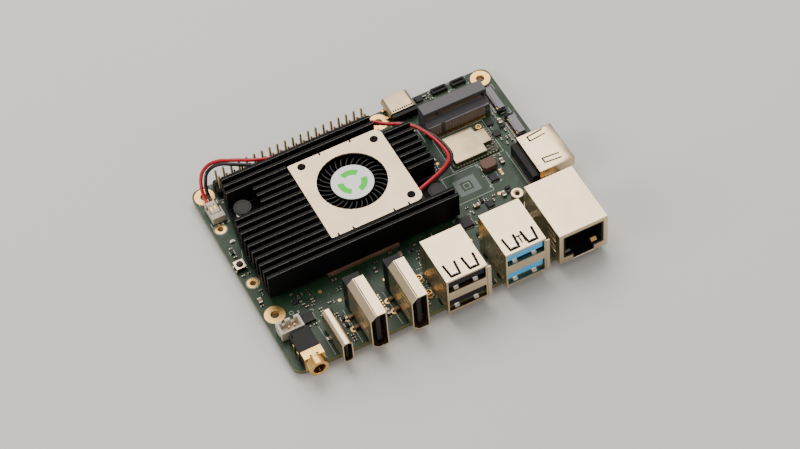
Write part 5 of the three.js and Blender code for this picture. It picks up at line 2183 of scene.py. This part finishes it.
@dataclass
class RibbonConnector:
    """A ribbon connector with a flip latch.

    Attributes:
        name: camera or display.
        pitch: The pitch of its contacts.
    """

    name: str
    pitch: float = 0.5

    def build(self) -> None:
        """Builds and fits the body with its contacts, and the latch."""
        node = f"{self.name}_connector"
        low, high = node_box(f"{node}_body")
        count, step = int((high.y - low.y - 2.6) / self.pitch), (0, self.pitch, 0)
        first = low.y + 1.3
        tail = dress(box("tail", (low.x - 0.7, low.x + 0.15), (first, first + 0.22), (0.0, 0.2)), TIN)
        clip = dress(box("contact", (low.x + 0.05, low.x + 0.9), (first, first + 0.2), (1.28, 1.42)), GOLD)
        body = dress(traced(f"{node}_body", "body", 0.08), BLACK)
        parts = [body, row(tail, count, step), row(clip, count, step)]
        half = ((high.x - low.x) / 2 - 0.4, 0.3)
        parts += blocks("anchor", [(low.x + high.x) / 2], (low.y, high.y), half, (0.0, 0.6), TIN)
        fit(merge(f"{self.name}_socket", parts), "black_plastic", f"{node}_body")
        latch = traced(f"{node}_latch", f"{self.name}_latch_bar", 0.09)
        fit(dress(latch, LATCH), "grey_plastic", f"{node}_latch", body=f"{self.name}_latch")


# ---------- modules and chips ----------
@dataclass
class RadioModule:
    """The wireless module: a small board with plated edge notches under a sheet shield."""

    pitch: float = 1.0
    coax: tuple[float, float] = (86.5, 52.9)
    parts: Sequence[Triple] = ((85.4, 44.0), (86.6, 44.2), (85.6, 45.2), (87.2, 45.3), (86.4, 43.3))

    def board(self) -> Piece:
        """Models the module's board with its notches, its antenna socket and small parts.

        Returns:
            The board.
        """
        low, high = node_box("wifi_module")
        under, thick = low.z - 0.02, high.z - low.z + 0.03
        notch = drum("notch", (low.x + 1.0, low.y, under), 0.17, thick, 10)
        notches = row(row(notch, 14, (self.pitch, 0, 0)), 2, (0, high.y - low.y, 0))
        side = drum("notch", (low.x, low.y + 1.2, under), 0.17, thick, 10)
        sides = row(row(side, 11, (0, self.pitch, 0)), 2, (high.x - low.x, 0, 0))
        cup = soften(washer("coax", (*self.coax, high.z), 0.55, 0.95, 0.75, sides=24), 0.06)
        pin = drum("pin", (*self.coax, high.z), 0.22, 0.6, 12)
        pieces = [
            dress(traced("wifi_module", "board", 0.05, 1), BOARD),
            dress(merge("plating", [notches, sides]), CONTACT),
            dress(merge("coax", [cup, pin]), GOLD),
        ]
        for x, y in self.parts:
            pieces += blocks("part", [x], [y], (0.4, 0.22), (high.z, high.z + 0.35), CERAMIC, 0.05, 1)
        return merge("radio_board", pieces)

    def shield(self) -> Piece:
        """Folds the shield with its dimples, its seam and black patches of painted shade for the openings in
        its skirt.

        Returns:
            The shield.
        """
        low, high = node_box("wifi_shield")
        shield = traced("wifi_shield", "shield", 0.16, 3)
        places = [(x, y, high.z - 0.05) for x in (75.0, 83.3) for y in (44.4, 52.5)]
        dress(carve(shield, *(drum("dimple", place, 0.22, 1, 16) for place in places)), SHEET)
        seam = dress(bar_between("seam", (84.45, 46.3, high.z), (84.45, 51.2, high.z), 0.1, 0.02), STEEL)
        # painted shade: the skirt's openings are not cut but drawn as thin black patches on its face
        opening = (low.x + 2.0, low.x + 2.3), (low.y - 0.01, low.y + 0.1), (low.z, low.z + 0.5)
        skirt = dress(row(box("gap", *opening), 6, (1.5, 0, 0)), BLACK)
        return merge("radio_shield", [shield, seam, skirt])

    def build(self) -> None:
        """Builds and fits the module's board and its shield."""
        fit(self.board(), "board", "wifi_module")
        fit(self.shield(), "nickel", "wifi_shield")


@dataclass
class Chips:
    """The chips with their leads, and the other block-shaped parts."""

    leaded: Sequence[tuple[str, int]] = (("audio_codec_chip", 6), ("usb_hub_chip", 8), ("power_chip", 5))
    pitch: float = 0.4

    def chip(self, node: str, leads: int) -> Piece:
        """Models a flat chip with leads on its four sides and a pin-one dimple.

        Args:
            node: The CAD node that it stands for.
            leads: How many leads each side has.

        Returns:
            The chip.
        """
        low, high = node_box(node)
        dimple = drum("dimple", (low.x + 0.55, high.y - 0.55, high.z - 0.05), 0.2, 1, 16)
        parts = [dress(soften(carve(span("body", low, high), dimple), 0.08), RESIN)]
        wide, deep, z = high.x - low.x, high.y - low.y, (0.0, 0.2)
        step = (wide - 0.6) / leads
        lead = (low.x + 0.3, low.x + 0.3 + step * 0.5), (low.y - 0.35, low.y + 0.05)
        across = row(block("lead", *lead, z, TIN, 0.03, 1), leads, (step, 0, 0))
        step = (deep - 0.6) / leads
        lead = (low.x - 0.35, low.x + 0.05), (low.y + 0.3, low.y + 0.3 + step * 0.5)
        along = row(block("lead", *lead, z, TIN, 0.03, 1), leads, (0, step, 0))
        parts += [row(across, 2, (0, deep + 0.3, 0)), row(along, 2, (wide + 0.3, 0, 0))]
        return merge(node.replace("_chip", "_package"), parts)

    def back_socket(self, node: str) -> Piece:
        """Models one of the two low sockets at the back edge: a slotted strip with contacts.

        Args:
            node: The CAD node that it stands for.

        Returns:
            The socket.
        """
        low, high = node_box(node)
        strip = span("strip", low, high)
        slot = (low.x + 0.5, high.x - 0.5), (low.y + 0.8, high.y - 0.8), (high.z - 0.5, high.z + 1)
        carve(strip, box("slot", *slot))
        contact = box("contact", (low.x + 0.6, low.x + 0.8), (low.y - 0.25, high.y + 0.2), (0.0, 0.15))
        contacts = row(contact, int((high.x - low.x - 1.0) / self.pitch), (self.pitch, 0, 0))
        return merge(f"{node}_strip", [dress(soften(strip, 0.1), BLACK), dress(contacts, GOLD)])

    def inductor(self) -> Piece:
        """Models the pressed inductor with its two folded terminals.

        Returns:
            The inductor.
        """
        low, high = node_box("inductor")
        body = dress(traced("inductor", "body", 0.2, 3), FERRITE)
        ends = blocks("end", (low.x, high.x), [(low.y + high.y) / 2], (0.2, 1.0), (0.0, 0.9), TIN)
        return merge("power_inductor", [body, *ends])

    def build(self) -> None:
        """Builds and fits them all."""
        for node, leads in self.leaded:
            fit(self.chip(node, leads), "epoxy", node)
        for node in ("back_socket_left", "back_socket_right"):
            fit(self.back_socket(node), "epoxy", node)
        fit(self.inductor(), "ferrite", "inductor")


@dataclass
class AntennaConnector:
    """A small coaxial socket.

    Attributes:
        number: Which of the two it is.
    """

    number: int

    def build(self) -> None:
        """Builds and fits the socket: a square foot, a grooved cup and a centre pin."""
        node = f"antenna_connector_{self.number}"
        low, high = node_box(node)
        x, y = middle_of(low, high)
        foot = block("foot", (low.x, high.x), (low.y, high.y), (low.z, 0.35), WHITE)
        cup = soften(washer("cup", (x, y, 0.3), 0.72, 1.05, high.z - 0.3, sides=32), 0.07)
        ring = washer("ring", (x, y, 0.62), 0.74, 1.12, 0.14, sides=32)
        pin = soften(drum("pin", (x, y, 0.3), 0.27, 0.8, 16), 0.08)
        tabs = [
            box("tab", (x - 0.5, x + 0.5), (side - 0.3, side + 0.3), (0.0, 0.3)) for side in (low.y, high.y)
        ]
        metal = dress(merge("metal", [cup, ring, pin, *tabs]), GOLD)
        fit(merge(f"antenna_socket_{self.number}", [foot, metal]), "gold", node)


@dataclass
class PowerButton:
    """The tact switch at the left edge and the status light beside it."""

    def frame(self) -> Piece:
        """Models the switch's metal frame, its four legs and the black block under it.

        Returns:
            The frame.
        """
        low, high = node_box("power_button_body")
        x, y = middle_of(low, high)
        plate = box("frame", (low.x, high.x), (low.y, high.y), (high.z - 0.35, high.z))
        carve(plate, drum("hole", (x, y, 0), 1.05, 4, 28))
        base = (low.x + 0.12, high.x - 0.12), (low.y + 0.12, high.y - 0.12), (low.z, high.z - 0.33)
        body = carve(box("block", *base), drum("hole", (x, y, 0.5), 1.1, 4, 28))
        columns, rows = (low.x, high.x), (low.y + 0.6, high.y - 0.6)
        legs = blocks("leg", columns, rows, (0.25, 0.35), (0.0, 0.3), NICKEL)
        parts = [dress(soften(plate, 0.1), NICKEL), *legs, dress(soften(body, 0.08), BLACK)]
        return merge("switch_frame", parts)

    def plunger(self) -> Piece:
        """Turns the plunger with its shallow dish.

        Returns:
            The plunger.
        """
        low, high = node_box("power_button_plunger")
        x, y = middle_of(low, high)
        plunger = drum("switch_plunger", (x, y, low.z), (high.x - low.x) / 2, high.z - low.z, 32)
        with shaping(plunger, facing(z=1)):
            bpy.ops.mesh.inset(thickness=0.2 * MM)
            bpy.ops.mesh.inset(thickness=0.08 * MM, depth=-0.05 * MM)
        return dress(soften(plunger, 0.12, 3), PIN_BLACK)

    def light(self) -> Piece:
        """Models the status light: a lens between two terminals.

        Returns:
            The light.
        """
        low, high = node_box("status_led")
        lens = block("lens", (low.x + 0.35, high.x - 0.35), (low.y, high.y), (low.z, high.z), LABEL, 0.12, 3)
        columns, middle = (low.x + 0.15, high.x - 0.15), (low.y + high.y) / 2
        ends = blocks("end", columns, [middle], (0.2, (high.y - low.y) / 2), (0.0, 0.35), TIN, 0.05, 1)
        return merge("status_light", [lens, *ends])

    def build(self) -> None:
        """Builds and fits the switch and the light."""
        fit(self.frame(), "nickel", "power_button_body")
        fit(self.plunger(), "black_plastic", "power_button_plunger", body="power_button")
        fit(self.light(), "white_plastic", "status_led")


# ---------- studio ----------
@dataclass
class Studio:
    """The pale floor, the soft lights and the camera."""

    camera_place: Triple = (-0.17494, -0.41899, 0.59084)
    camera_target: Triple = (0.00003, -0.00323, 0.0)
    camera_roll: float = 5.35
    lens: float = 113.76
    surround: Colour = (0.80, 0.79, 0.77)
    glow: float = 0.5
    lights: Sequence[tuple[str, Triple, float, float, Colour]] = (
        ("overhead", (0.10, 0.40, 0.70), 0.70, 6.5, (1.0, 0.96, 0.90)),
        ("left", (-0.70, 0.05, 0.40), 0.40, 2.6, (1.0, 0.97, 0.93)),
        ("front", (0.30, -0.7, 0.35), 0.35, 1.6, (1.0, 0.95, 0.88)),
    )

    def camera(self) -> None:
        """Adds the camera and makes it the scene's."""
        data = bpy.data.cameras.new("camera")
        data.lens = self.lens
        data.sensor_width = 36.0
        data.clip_start = 0.01
        camera = bpy.data.objects.new("camera", data)
        bpy.context.scene.collection.objects.link(camera)
        place = Vector(self.camera_place)
        look = (Vector(self.camera_target) - place).to_track_quat("-Z", "Y")
        roll = Matrix.Rotation(math.radians(-self.camera_roll), 4, "Z")
        camera.matrix_world = Matrix.Translation(place) @ look.to_matrix().to_4x4() @ roll
        bpy.context.scene.camera = camera

    def floor(self) -> None:
        """Adds the floor with a pale, faintly mottled finish."""
        deselect()
        bpy.ops.mesh.primitive_plane_add(size=6.0, location=(0, 0, CAD_BOX[0][2]))
        floor = settled("floor")
        dress(floor, PAPER)
        floor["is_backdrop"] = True

    def light(self) -> None:
        """Adds the area lights and an even, pale surround."""
        for name, place, size, power, colour in self.lights:
            data = bpy.data.lights.new(name, "AREA")
            data.size = size
            data.energy = power
            data.color = colour
            lamp = bpy.data.objects.new(name, data)
            bpy.context.scene.collection.objects.link(lamp)
            aim = (-Vector(place)).to_track_quat("-Z", "Y").to_matrix().to_4x4()
            lamp.matrix_world = Matrix.Translation(Vector(place)) @ aim
        world = bpy.data.worlds.new("surround")
        world.use_nodes = True
        surround = world.node_tree.nodes["Background"]
        surround.inputs["Color"].default_value = (*self.surround, 1.0)
        surround.inputs["Strength"].default_value = self.glow
        bpy.context.scene.world = world

    def build(self) -> None:
        """Sets up the studio."""
        self.camera()
        self.floor()
        self.light()


def main() -> None:
    """Builds every sub-assembly in order."""
    logging.basicConfig(level=logging.INFO, format="%(name)s %(message)s")
    deselect()
    Studio().build()
    FanLead().build()
    Board().build()
    Cooler().build()
    Blower().build()
    PinHeader().build()
    StackedUsb("usb2", BLACK).build()
    StackedUsb("usb3", BLUE).build()
    NetworkPort().build()
    for number in (1, 2):
        UprightHdmi(number).build()
        AntennaConnector(number).build()
    SideHdmi().build()
    UsbC().build()
    AudioJack().build()
    BatteryConnector().build()
    CardSocket().build()
    RibbonConnector("camera").build()
    RibbonConnector("display").build()
    RadioModule().build()
    Chips().build()
    PowerButton().build()
    SmallParts().build()


if __name__ == "__main__":
    main()
